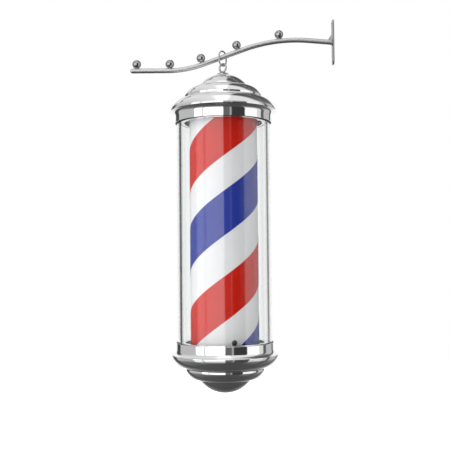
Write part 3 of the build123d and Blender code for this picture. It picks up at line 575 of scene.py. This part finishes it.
CHROME = polished_chrome("cap_chrome", (0.86, 0.86, 0.87), wave=0.06)
# The balls' chrome has a much darker base than the caps' chrome. This is painted shade that
# stands in for the darker surroundings the balls mirror.
SHADE_DARKENED_BALL_CHROME = polished_chrome("ball_chrome", (0.37, 0.37, 0.38), wave=0.03)
WIRE_STEEL = polished_chrome("wire_steel", (0.50, 0.50, 0.51), wave=0.05)
STEEL = satin_steel("bracket_steel", (0.64, 0.64, 0.65), ALONG_X, low=0.33, high=0.40)
PLATE_STEEL = satin_steel("plate_steel", (0.34, 0.34, 0.35), ALONG_Z, low=0.30, high=0.42)
ZINC = satin_steel("zinc_steel", (0.60, 0.60, 0.57), EVEN, low=0.3, high=0.45)
WHITE_DRUM = gloss_film("drum_white", (0.86, 0.865, 0.87))
RED_FILM = gloss_film("stripe_red", (0.63, 0.012, 0.002))
BLUE_FILM = gloss_film("stripe_blue", (0.021, 0.043, 0.344))
BLACK = moulded("black_plastic", (0.02, 0.02, 0.02), 0.45)
SCREW_BLACK = moulded("screw_black", (0.03, 0.035, 0.03), 0.3, speckle=0.05, bump=0.05)
NYLON = moulded("nylon", (0.80, 0.79, 0.74), 0.4)
RUBBER = moulded("rubber", (0.025, 0.025, 0.025), 0.6, speckle=0.08, bump=0.3, scale=300)
MOTOR_PAINT = moulded("motor_case", (0.09, 0.095, 0.10), 0.4, speckle=0.08, bump=0.2,
                      scale=250)
PORCELAIN = gloss_film("lamp_porcelain", (0.85, 0.84, 0.81))
BULB_GLASS = frosted_bulb()
BULB_CAP = satin_steel("lamp_cap", (0.70, 0.69, 0.66), EVEN, low=0.25, high=0.4)
ACRYLIC = clear_acrylic()

NODE_MATERIALS = {
    "ball_chrome": SHADE_DARKENED_BALL_CHROME,
    "cap_chrome": CHROME,
    "bracket_steel": STEEL,
    "clear_tube": ACRYLIC,
    "drum_white": WHITE_DRUM,
    "stripe_red": RED_FILM,
    "stripe_blue": BLUE_FILM,
    "black_plastic": BLACK,
    "screw_black": SCREW_BLACK,
    "zinc_steel": ZINC,
    "nylon": NYLON,
    "rubber": RUBBER,
    "motor_case": MOTOR_PAINT,
    "lamp_porcelain": PORCELAIN,
    "lamp_glass": BULB_GLASS,
    "lamp_cap": BULB_CAP,
}


def dress_cad_nodes():
    """Gives every CAD node the finished material of its slot; the wall plate has its own."""
    own = {"wall_plate": PLATE_STEEL}
    for part in frame["record"]["subparts"]:
        node = frame["nodes"][part["node"]]
        material = own.get(part["node"], NODE_MATERIALS[part["material_slot"]])
        for material_slot in node.material_slots:
            material_slot.material = material


dress_cad_nodes()


# ================= mesh helpers =================


def add_piece(name, vertices, faces, body, material, replaced=()):
    """Makes a smooth mesh piece that rides a body and may stand for CAD nodes."""
    mesh = bpy.data.meshes.new(name)
    mesh.from_pydata([tuple(vertex) for vertex in vertices], [], faces)
    mesh.update()
    mesh.shade_smooth()
    mesh.materials.append(material)
    piece = bpy.data.objects.new(name, mesh)
    bpy.context.scene.collection.objects.link(piece)
    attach(piece, body)
    if replaced:
        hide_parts(*replaced)
    return piece


def arc_points(start, via, end, steps=24):
    """Points on the circle through three points, start and end included."""
    (ax, ay), (bx, by), (cx, cy) = start, via, end
    d = 2 * (ax * (by - cy) + bx * (cy - ay) + cx * (ay - by))
    a2, b2, c2 = ax * ax + ay * ay, bx * bx + by * by, cx * cx + cy * cy
    ux = (a2 * (by - cy) + b2 * (cy - ay) + c2 * (ay - by)) / d
    uy = (a2 * (cx - bx) + b2 * (ax - cx) + c2 * (bx - ax)) / d
    first = math.atan2(ay - uy, ax - ux)
    middle = math.atan2(by - uy, bx - ux) - first
    last = math.atan2(cy - uy, cx - ux) - first
    middle %= 2 * math.pi
    last %= 2 * math.pi
    if middle > last:
        last -= 2 * math.pi
    radius = math.hypot(ax - ux, ay - uy)
    angles = [first + last * step / steps for step in range(steps + 1)]
    return [(ux + radius * math.cos(a), uy + radius * math.sin(a)) for a in angles]


def resample(points, step, closed):
    """Evenly spaced points along a line or loop."""
    path = np.array(points, dtype=float)
    if closed:
        path = np.vstack([path, path[:1]])
    lengths = np.hypot(*np.diff(path, axis=0).T)
    keep = np.concatenate([[True], lengths > 1e-9])
    path = path[keep]
    along = np.concatenate([[0], np.cumsum(lengths[lengths > 1e-9])])
    count = max(8, int(round(along[-1] / step)))
    places = np.linspace(0, along[-1], count + 1)
    if closed:
        places = places[:-1]
    return np.column_stack([np.interp(places, along, path[:, i]) for i in (0, 1)])


def soften(points, radius, closed):
    """Rounds a profile's corners as spinning or moulding does, then thins its points."""
    path = resample(points, radius / ROUND_STEPS, closed)
    reach = ROUND_REACH
    kernel = np.exp(-0.5 * (np.arange(-reach, reach + 1) / ROUND_SPREAD) ** 2)
    kernel /= kernel.sum()
    if closed:
        padded = np.vstack([path[-reach:], path, path[:reach]])
    else:
        head = path[1:reach + 1][::-1] * (-1, 1)
        tail = path[-reach - 1:-1][::-1] * (-1, 1)
        padded = np.vstack([head, path, tail])
    smooth = np.column_stack([np.convolve(padded[:, i], kernel, "valid") for i in (0, 1)])
    if not closed:
        smooth[0, 0] = smooth[-1, 0] = 0.0
    return thin(smooth)


def thin(path):
    """Drops the points that lie on a straight run, keeping long runs divided."""
    kept = [0]
    while kept[-1] < len(path) - 1:
        start = kept[-1]
        end = start + 1
        while end + 1 < len(path) and end + 1 - start <= THIN_SPAN:
            chord = path[end + 1] - path[start]
            offset = path[start + 1:end + 1] - path[start]
            away = np.abs(chord[0] * offset[:, 1] - chord[1] * offset[:, 0])
            if away.max() > THIN_TOLERANCE * max(np.hypot(*chord), 1e-9):
                break
            end += 1
        kept.append(end)
    return [tuple(path[index]) for index in kept]


def lathe(profile, closed, origin, direction=(0, 0, 1), segments=SMOOTH_SEGMENTS, six_sided=0):
    """Turns a profile in millimetres about an axis; returns vertices and faces.

    The first six_sided points of the profile are drawn round as a hexagon.
    """
    turn = Vector(direction).to_track_quat("Z", "Y").to_matrix()
    start = Vector(origin)
    wedge = math.pi / 3
    vertices, rows = [], []
    for number, (radius, height) in enumerate(profile):
        if radius < 1e-6:
            rows.append([len(vertices)] * segments)
            vertices.append(start + turn @ Vector((0, 0, height * MM)))
            continue
        rows.append(list(range(len(vertices), len(vertices) + segments)))
        for index in range(segments):
            angle = 2 * math.pi * index / segments
            reach = radius
            if number < six_sided:
                reach /= math.cos(angle % wedge - wedge / 2)
            point = Vector((reach * math.cos(angle), reach * math.sin(angle), height)) * MM
            vertices.append(start + turn @ point)
    faces = []
    pairs = list(zip(rows, rows[1:]))
    if closed:
        pairs.append((rows[-1], rows[0]))
    for upper, lower in pairs:
        for index in range(segments):
            after = (index + 1) % segments
            corners = (upper[index], upper[after], lower[after], lower[index])
            face = tuple(dict.fromkeys(corners))
            if len(face) > 2:
                faces.append(face)
    return vertices, faces


def turned_piece(name, points, rounding, closed, zero_z, body, material, replaced):
    """A rounded turned piece about the pole's axis; its profile's zero height is at zero_z."""
    profile = soften(points, rounding, closed)
    vertices, faces = lathe(profile, closed, (POLE_X, 0, zero_z))
    piece = add_piece(name, vertices, faces, body, material, replaced)
    fix_normals(piece)
    return piece


def crease(piece, degrees):
    """Keeps a smooth piece's edges sharp where they turn more than an angle."""
    piece.data.set_sharp_from_angle(angle=math.radians(degrees))


def fix_normals(piece):
    """Turns a closed mesh's faces outward."""
    work = bmesh.new()
    work.from_mesh(piece.data)
    bmesh.ops.recalc_face_normals(work, faces=work.faces)
    work.to_mesh(piece.data)
    work.free()
    piece.data.shade_smooth()


# ================= caps, collars, tube =================


def cover_line(inset):
    """One skin of a stepped cover, from the apex to the rim, as (radius, height)."""
    centre = CAP_HEIGHT - DOME_SPHERE
    sphere = DOME_SPHERE - inset
    dome = DOME_RADIUS - inset
    diagonal = inset * math.sqrt(0.5)
    shoulder = centre + math.sqrt(sphere**2 - dome**2)
    middle = centre + math.sqrt(sphere**2 - (dome / 2) ** 2)
    points = arc_points((0, centre + sphere), (dome / 2, middle), (dome, shoulder))
    step_middle = (STEP_MIDDLE[0] - diagonal, STEP_MIDDLE[1] - diagonal)
    bowl_middle = (BOWL_MIDDLE[0] - diagonal, BOWL_MIDDLE[1] - diagonal)
    points += arc_points((dome, DOME_FOOT - inset), step_middle,
                         (STEP_RADIUS - inset, STEP_SHOULDER - inset))
    points += [(STEP_RADIUS - inset, STEP_FOOT - inset)]
    points += arc_points((BOWL_RADIUS - inset, BOWL_HEIGHT - inset), bowl_middle,
                         (RIM_RADIUS - RIM_TAPER - inset, RIM_HEIGHT))
    points += [(RIM_RADIUS - inset, FLANGE_TOP)]
    return points


def make_bottom_cover():
    """Stepped bottom cap, apex downward."""
    points = cover_line(0.0) + cover_line(COVER_SHEET)[::-1]
    points = [(radius, -height) for radius, height in points]
    turned_piece("bottom_cover_shell", points, COVER_ROUND, False, BOTTOM_LIP_Z, "pole",
                 CHROME, ("bottom_cover",))


def flattened(points, inset):
    """Cuts a cover's apex to the flat round the eye bolt's hole."""
    centre = CAP_HEIGHT - DOME_SPHERE
    flat = centre + math.sqrt(DOME_SPHERE**2 - WASHER_RADIUS**2) - inset
    outside = [point for point in points if point[0] > WASHER_RADIUS + 1]
    return [(BOLT_HOLE, flat), (WASHER_RADIUS, flat)] + outside


def make_top_cover():
    """Stepped top cap with a bolt hole at its apex and a cable hole at the back."""
    points = flattened(cover_line(0.0), 0.0)
    points += flattened(cover_line(COVER_SHEET), COVER_SHEET)[::-1]
    cover = turned_piece("top_cover_shell", points, COVER_ROUND, True, TOP_LIP_Z, "pole",
                         CHROME, ("top_cover",))
    drill_cable_hole(cover)


def drill_cable_hole(cover):
    """Cuts the cable hole at the back of the top cap."""
    low, high = (Vector(corner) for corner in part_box("cable_grommet"))
    rod = [(0, 0), (CABLE_HOLE_RADIUS, 0), (CABLE_HOLE_RADIUS, DRILL_LENGTH), (0, DRILL_LENGTH)]
    start = (POLE_X, high.y - DRILL_LENGTH / 2 * MM, (low.z + high.z) / 2)
    vertices, faces = lathe(rod, False, start, (0, 1, 0), DRILL_SEGMENTS)
    mesh = bpy.data.meshes.new("cable_drill")
    mesh.from_pydata([tuple(vertex) for vertex in vertices], [], faces)
    drill = bpy.data.objects.new("cable_drill", mesh)
    bpy.context.scene.collection.objects.link(drill)
    fix_normals(drill)
    cut = cover.modifiers.new("cable_hole", "BOOLEAN")
    cut.operation = "DIFFERENCE"
    cut.solver = "EXACT"
    cut.object = drill
    bpy.context.view_layer.update()
    done = bpy.data.meshes.new_from_object(
        cover.evaluated_get(bpy.context.evaluated_depsgraph_get()))
    cover.modifiers.clear()
    cover.data = done
    bpy.data.objects.remove(drill)
    cover.data.shade_smooth()
    crease(cover, METAL_CREASE)


def make_collar(name, lip_z, side, node):
    """Collar with a rolled lip, a concave flare and a straight band."""
    flare = LIP_RADIUS - BAND_RADIUS
    band_top = LIP_UNDER - flare
    slant = math.sqrt(0.5)
    inner = flare + COLLAR_SHEET
    rise = FLANGE_UNDER - band_top
    meet = LIP_RADIUS - math.sqrt(inner**2 - rise**2)
    half = math.asin(rise / inner) / 2
    points = [(FLANGE_INNER, FLANGE_TOP), (LIP_RADIUS, FLANGE_TOP)]
    points += arc_points((LIP_RADIUS, LIP_UNDER),
                         (LIP_RADIUS - flare * slant, band_top + flare * slant),
                         (BAND_RADIUS, band_top))
    points += [(BAND_RADIUS, -BAND_DEPTH), (BAND_RADIUS - COLLAR_SHEET, -BAND_DEPTH)]
    points += arc_points((BAND_RADIUS - COLLAR_SHEET, band_top),
                         (LIP_RADIUS - inner * math.cos(half), band_top + inner * math.sin(half)),
                         (meet, FLANGE_UNDER))
    points += [(FLANGE_INNER, FLANGE_UNDER)]
    points = [(radius, side * height) for radius, height in points]
    turned_piece(name, points, COLLAR_ROUND, True, lip_z, "pole", CHROME, (node,))


def make_seat_ring(name, lip_z, side, node):
    """Pressed seat ring: flange over the tube's end and a lip inward."""
    wall = SEAT_WALL_RADIUS - SEAT_SHEET
    over = BAND_RADIUS - COLLAR_SHEET - SEAT_ROOM
    foot = -BAND_DEPTH - SEAT_DROP
    points = [
        (wall, FLANGE_UNDER),
        (SEAT_WALL_RADIUS, FLANGE_UNDER),
        (SEAT_WALL_RADIUS, SEAT_SHEET - TUBE_END),
        (over, SEAT_SHEET - TUBE_END),
        (over, -TUBE_END),
        (SEAT_WALL_RADIUS, -TUBE_END),
        (SEAT_WALL_RADIUS, foot),
        (SEAT_OPENING, foot),
        (SEAT_OPENING, foot + SEAT_LIP),
        (wall, foot + SEAT_LIP),
    ]
    points = [(radius, side * height) for radius, height in points]
    turned_piece(name, points, SEAT_ROUND, True, lip_z, "pole", CHROME, (node,))


def make_clear_tube():
    """Clear tube with softly polished ends."""
    inner = TUBE_RADIUS - TUBE_WALL
    low = (TUBE_LOW.z - TOP_LIP_Z) / MM
    high = (TUBE_HIGH.z - TOP_LIP_Z) / MM
    points = [(inner, low), (TUBE_RADIUS, low), (TUBE_RADIUS, high), (inner, high)]
    turned_piece("clear_tube_wall", points, TUBE_ROUND, True, TOP_LIP_Z, "pole",
                 ACRYLIC, ("clear_tube",))


make_top_cover()
make_bottom_cover()
make_collar("top_collar_ring", TOP_LIP_Z, 1, "top_collar")
make_collar("bottom_collar_ring", BOTTOM_LIP_Z, -1, "bottom_collar")
make_seat_ring("top_seat", TOP_LIP_Z, 1, "top_seat_ring")
make_seat_ring("bottom_seat", BOTTOM_LIP_Z, -1, "bottom_seat_ring")
make_clear_tube()


# ================= drum and stripes =================


def make_drum():
    """White drum wall."""
    height = (DRUM_HIGH.z - DRUM_LOW.z) / MM
    inner = DRUM_RADIUS - DRUM_WALL
    points = [(inner, 0), (DRUM_RADIUS, 0), (DRUM_RADIUS, height), (inner, height)]
    turned_piece("drum_wall", points, DRUM_ROUND, True, DRUM_LOW.z, "drum",
                 WHITE_DRUM, ("drum_tube",))


def make_stripe(name, front_z, material, node):
    """Helical film round the drum, rising to the right across the front."""
    inner = DRUM_RADIUS + STRIPE_GAP
    radii = (inner, inner + STRIPE_THICKNESS)
    spread = math.radians(360 * STRIPE_HEIGHT / STRIPE_LEAD)
    height = (DRUM_HIGH.z - DRUM_LOW.z) / MM
    low = DRUM_LOW.z / MM
    start = math.radians(-90 + 360 * (low - front_z) / STRIPE_LEAD) - spread / 2
    rows, columns = STRIPE_ROWS, STRIPE_COLUMNS
    vertices = []
    for radius in radii:
        for row in range(rows + 1):
            rise = height * row / rows
            for column in range(columns + 1):
                angle = start + spread * column / columns + 2 * math.pi * rise / STRIPE_LEAD
                vertices.append(Vector((POLE_X + radius * math.cos(angle) * MM,
                                        radius * math.sin(angle) * MM, DRUM_LOW.z + rise * MM)))
    width = columns + 1
    layer = width * (rows + 1)
    faces = []
    for row in range(rows):
        for column in range(columns):
            corner = row * width + column
            faces.append((corner, corner + width, corner + width + 1, corner + 1))
            outer = corner + layer
            faces.append((outer, outer + 1, outer + width + 1, outer + width))
        for column in (0, columns):
            corner = row * width + column
            faces.append((corner, corner + width, corner + width + layer, corner + layer))
    for row in (0, rows):
        for column in range(columns):
            corner = row * width + column
            faces.append((corner, corner + 1, corner + 1 + layer, corner + layer))
    film = add_piece(name, vertices, faces, "drum", material, (node,))
    fix_normals(film)
    crease(film, FILM_CREASE)


make_drum()
make_stripe("red_film", RED_FRONT_Z, RED_FILM, "red_stripe")
make_stripe("blue_film", BLUE_FRONT_Z, BLUE_FILM, "blue_stripe")


# ================= bracket =================


def fillet_points(before, corner, after, radius, steps=28):
    """Points on the arc that rounds a corner between two straight runs."""
    first, middle, last = Vector(before), Vector(corner), Vector(after)
    inward = (first - middle).normalized()
    outward = (last - middle).normalized()
    turn = math.pi - inward.angle(outward)
    reach = radius * math.tan(turn / 2)
    bisector = (inward + outward).normalized()
    centre = middle + bisector * (radius / math.cos(turn / 2))
    start = middle + inward * reach - centre
    end = middle + outward * reach - centre
    points = []
    for step in range(steps + 1):
        share = step / steps
        mixed = start.lerp(end, share)
        points.append(centre + mixed.normalized() * radius)
    return points


def arm_line():
    """Centre line of the arm as (x, z) points in millimetres, from its tip to the plate."""
    tip, low, high, wall = ARM_CORNERS
    points = [Vector(tip)]
    points += fillet_points(tip, low, high, ARM_BENDS[0])
    points += fillet_points(low, high, wall, ARM_BENDS[1])
    end_x = ARM_SINK - PLATE_THICKNESS
    share = (end_x - points[-1].x) / (wall[0] - points[-1].x)
    points.append(points[-1].lerp(Vector(wall), share))
    return points


def divide(points, step):
    """Adds points to the long runs of a line."""
    result = [points[0]]
    for before, after in zip(points, points[1:]):
        count = max(1, int((after - before).length / step))
        for index in range(1, count + 1):
            result.append(before.lerp(after, index / count))
    return result


def sweep_round(points, radius, binormal, closed, segments):
    """Sweeps a circle along a flat line; returns vertices in metres and faces."""
    count = len(points)
    vertices, faces = [], []
    for index, point in enumerate(points):
        after = points[(index + 1) % count] if closed else points[min(index + 1, count - 1)]
        before = points[index - 1] if closed else points[max(index - 1, 0)]
        normal = (after - before).normalized().cross(binormal)
        for step in range(segments):
            angle = 2 * math.pi * step / segments
            offset = normal * math.cos(angle) + binormal * math.sin(angle)
            vertices.append((point + offset * radius) * MM)
    rows = count if closed else count - 1
    for row in range(rows):
        low, high = row * segments, (row + 1) % count * segments
        for step in range(segments):
            after = (step + 1) % segments
            faces.append((low + step, low + after, high + after, high + step))
    if not closed:
        faces.append(tuple(range(segments)))
        faces.append(tuple(range((count - 1) * segments, count * segments)))
    return vertices, faces


def make_arm():
    """Bent round arm, from its free end into the wall plate."""
    points = [Vector((x, 0, z)) for x, z in divide(arm_line(), ARM_STEP)]
    vertices, faces = sweep_round(points, ARM_RADIUS, Vector((0, 1, 0)), False, ARM_SEGMENTS)
    arm = add_piece("arm_tube", vertices, faces, "bracket", STEEL,
                    ("bracket_arm",))
    fix_normals(arm)
    crease(arm, METAL_CREASE)


def make_arm_cap():
    """Domed cap pressed into the arm's free end."""
    tip_x, tip_z = ARM_CORNERS[0]
    points = arc_points((0, ARM_RADIUS), (ARM_RADIUS * math.sqrt(0.5),) * 2, (ARM_RADIUS, 0))
    points += CAP_RIM
    vertices, faces = lathe(points, False, Vector((tip_x, 0, tip_z)) * MM, (-1, 0, 0),
                            SMALL_SEGMENTS)
    cap = add_piece("arm_end_cap", vertices, faces, "bracket", STEEL,
                    ("arm_end_plug",))
    fix_normals(cap)
    crease(cap, METAL_CREASE)


def make_weld():
    """Rippled weld bead round the arm at the wall plate."""
    arm_z = arm_line()[-1][1]
    vertices, faces = [], []
    for index in range(WELD_SEGMENTS):
        angle = 2 * math.pi * index / WELD_SEGMENTS
        ripple = WELD_RIPPLE * math.sin(angle * WELD_RIPPLES)
        for step in range(BEAD_SEGMENTS):
            around = 2 * math.pi * step / BEAD_SEGMENTS
            bead = WELD_BEAD + ripple * max(0.0, math.cos(around))
            radius = ARM_RADIUS + WELD_LIFT + bead * math.cos(around)
            x = -PLATE_THICKNESS - WELD_OFFSET + WELD_DEPTH * math.sin(around)
            vertices.append(Vector((x, radius * math.cos(angle),
                                    arm_z + radius * math.sin(angle))) * MM)
    for index in range(WELD_SEGMENTS):
        here = index * BEAD_SEGMENTS
        after = (index + 1) % WELD_SEGMENTS * BEAD_SEGMENTS
        for step in range(BEAD_SEGMENTS):
            next_step = (step + 1) % BEAD_SEGMENTS
            faces.append((here + step, after + step, after + next_step, here + next_step))
    weld = add_piece("arm_weld", vertices, faces, "bracket", PLATE_STEEL)
    fix_normals(weld)


def make_balls():
    """Polished balls on short necks, standing on the arm."""
    line = divide(arm_line(), ARM_SEARCH_STEP)
    for number in range(1, BALL_COUNT + 1):
        low, high = (Vector(corner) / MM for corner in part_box(f"ball_{number}"))
        centre = Vector(((low.x + high.x) / 2, high.z - BALL_RADIUS))
        nearest = min(line, key=lambda point: (point - centre).length)
        outward = (centre - nearest).normalized()
        points = arc_points((0, BALL_RADIUS), (BALL_RADIUS, 0), BALL_NECK[0], BALL_STEPS)
        points += BALL_NECK[1:]
        vertices, faces = lathe(points, False, Vector((centre.x, 0, centre.y)) * MM,
                                (outward.x, 0, outward.y), BALL_SEGMENTS)
        ball = add_piece(f"ball_{number}_polished", vertices, faces, "bracket",
                         SHADE_DARKENED_BALL_CHROME, (f"ball_{number}",))
        fix_normals(ball)


make_arm()
make_arm_cap()
make_weld()
make_balls()


# ================= hanging ring and eye bolt =================


def turned_axes(angle):
    """Across and facing directions of a vertical plane turned about the pole's axis."""
    turn = math.radians(angle)
    across = Vector((math.sin(turn), math.cos(turn), 0))
    facing = Vector((math.cos(turn), -math.sin(turn), 0))
    return across, facing


def make_ring():
    """Long link of round wire over the arm."""
    low, high = (Vector(corner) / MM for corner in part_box("hanging_ring"))
    half_width = RING_WIDTH / 2 - RING_WIRE
    upper = high.z - RING_WIRE - half_width
    lower = low.z + RING_WIRE + half_width
    across, facing = turned_axes(RING_TURN)
    centre = Vector((POLE_X / MM, 0, 0))
    flat = []
    for middle, start in ((upper, 0), (lower, 180)):
        for step in range(RING_STEPS + 1):
            angle = math.radians(start + 180 * step / RING_STEPS)
            flat.append((half_width * math.cos(angle), middle + half_width * math.sin(angle)))
    points = [centre + across * x + Vector((0, 0, z)) for x, z in flat]
    vertices, faces = sweep_round(points, RING_WIRE, facing, True, WIRE_SEGMENTS)
    ring = add_piece("ring_link", vertices, faces, "hanging_ring", WIRE_STEEL,
                     ("hanging_ring",))
    fix_normals(ring)


def make_eye_bolt():
    """Forged eye that blends into its shank."""
    low, high = (Vector(corner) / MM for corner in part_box("eye_bolt"))
    eye_radius = EYE_INNER_RADIUS + EYE_WIRE
    centre_z = high.z - eye_radius - EYE_WIRE
    across, facing = turned_axes(RING_TURN - 90)
    centre = Vector((POLE_X / MM, 0, centre_z))
    points = []
    for step in range(EYE_STEPS):
        angle = 2 * math.pi * step / EYE_STEPS
        points.append(centre + across * (eye_radius * math.cos(angle))
                      + Vector((0, 0, eye_radius * math.sin(angle))))
    vertices, faces = sweep_round(points, EYE_WIRE, facing, True, WIRE_SEGMENTS)
    neck = centre_z - eye_radius
    profile = [(radius, neck + height) for radius, height in BOLT_NECK]
    profile += [(SHANK_RADIUS, low.z + SHANK_BEVEL), (SHANK_RADIUS - SHANK_BEVEL, low.z),
                (0, low.z)]
    start = len(vertices)
    more, more_faces = lathe(profile, False, (POLE_X, 0, 0), (0, 0, 1), SMALL_SEGMENTS)
    vertices += more
    faces += [tuple(corner + start for corner in face) for face in more_faces]
    bolt = add_piece("eye_bolt_forged", vertices, faces, "pole", WIRE_STEEL,
                     ("eye_bolt",))
    fix_normals(bolt)
    remesh = bolt.modifiers.new("blend", "REMESH")
    remesh.mode = "VOXEL"
    remesh.voxel_size = EYE_VOXEL * MM
    remesh.use_smooth_shade = True
    smooth = bolt.modifiers.new("soften", "SMOOTH")
    smooth.factor = 0.5
    smooth.iterations = EYE_SMOOTHING


def make_eye_washer():
    """Turned collar washer with a rounded shoulder."""
    low, high = (Vector(corner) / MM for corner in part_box("eye_washer"))
    height = high.z - low.z
    points = [(BOLT_HOLE, 0), (WASHER_RADIUS, 0), (WASHER_RADIUS, height - WASHER_SLOPE),
              (WASHER_RADIUS - WASHER_SLOPE, height), (BOLT_HOLE, height)]
    profile = soften(points, WASHER_ROUND, True)
    vertices, faces = lathe(profile, True, (POLE_X, 0, low.z * MM), (0, 0, 1), WASHER_SEGMENTS)
    washer = add_piece("eye_washer_turned", vertices, faces, "pole", WIRE_STEEL,
                       ("eye_washer",))
    fix_normals(washer)


make_ring()
make_eye_bolt()
make_eye_washer()


# ================= drum screws =================


def make_drum_screws():
    """Button-head screws with a six-sided socket, round the drum's foot."""
    low, high = (Vector(corner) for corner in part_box("drum_screws"))
    seat = (DRUM_RADIUS + 2 * STRIPE_GAP + STRIPE_THICKNESS) * MM
    profile = SCREW_SOCKET + SCREW_DOME + SCREW_SHANK
    vertices, faces = [], []
    for index in range(DRUM_SCREW_COUNT):
        angle = math.radians(-90 + DRUM_SCREW_FRONT + 360 / DRUM_SCREW_COUNT * index)
        outward = Vector((math.cos(angle), math.sin(angle), 0))
        origin = Vector((POLE_X, 0, (low.z + high.z) / 2)) + outward * seat
        more, more_faces = lathe(profile, False, origin, outward, SCREW_SEGMENTS,
                                 len(SCREW_SOCKET))
        faces += [tuple(corner + len(vertices) for corner in face) for face in more_faces]
        vertices += more
    screws = add_piece("drum_screw_heads", vertices, faces, "drum", SCREW_BLACK,
                       ("drum_screws",))
    fix_normals(screws)
    crease(screws, SCREW_CREASE)


make_drum_screws()
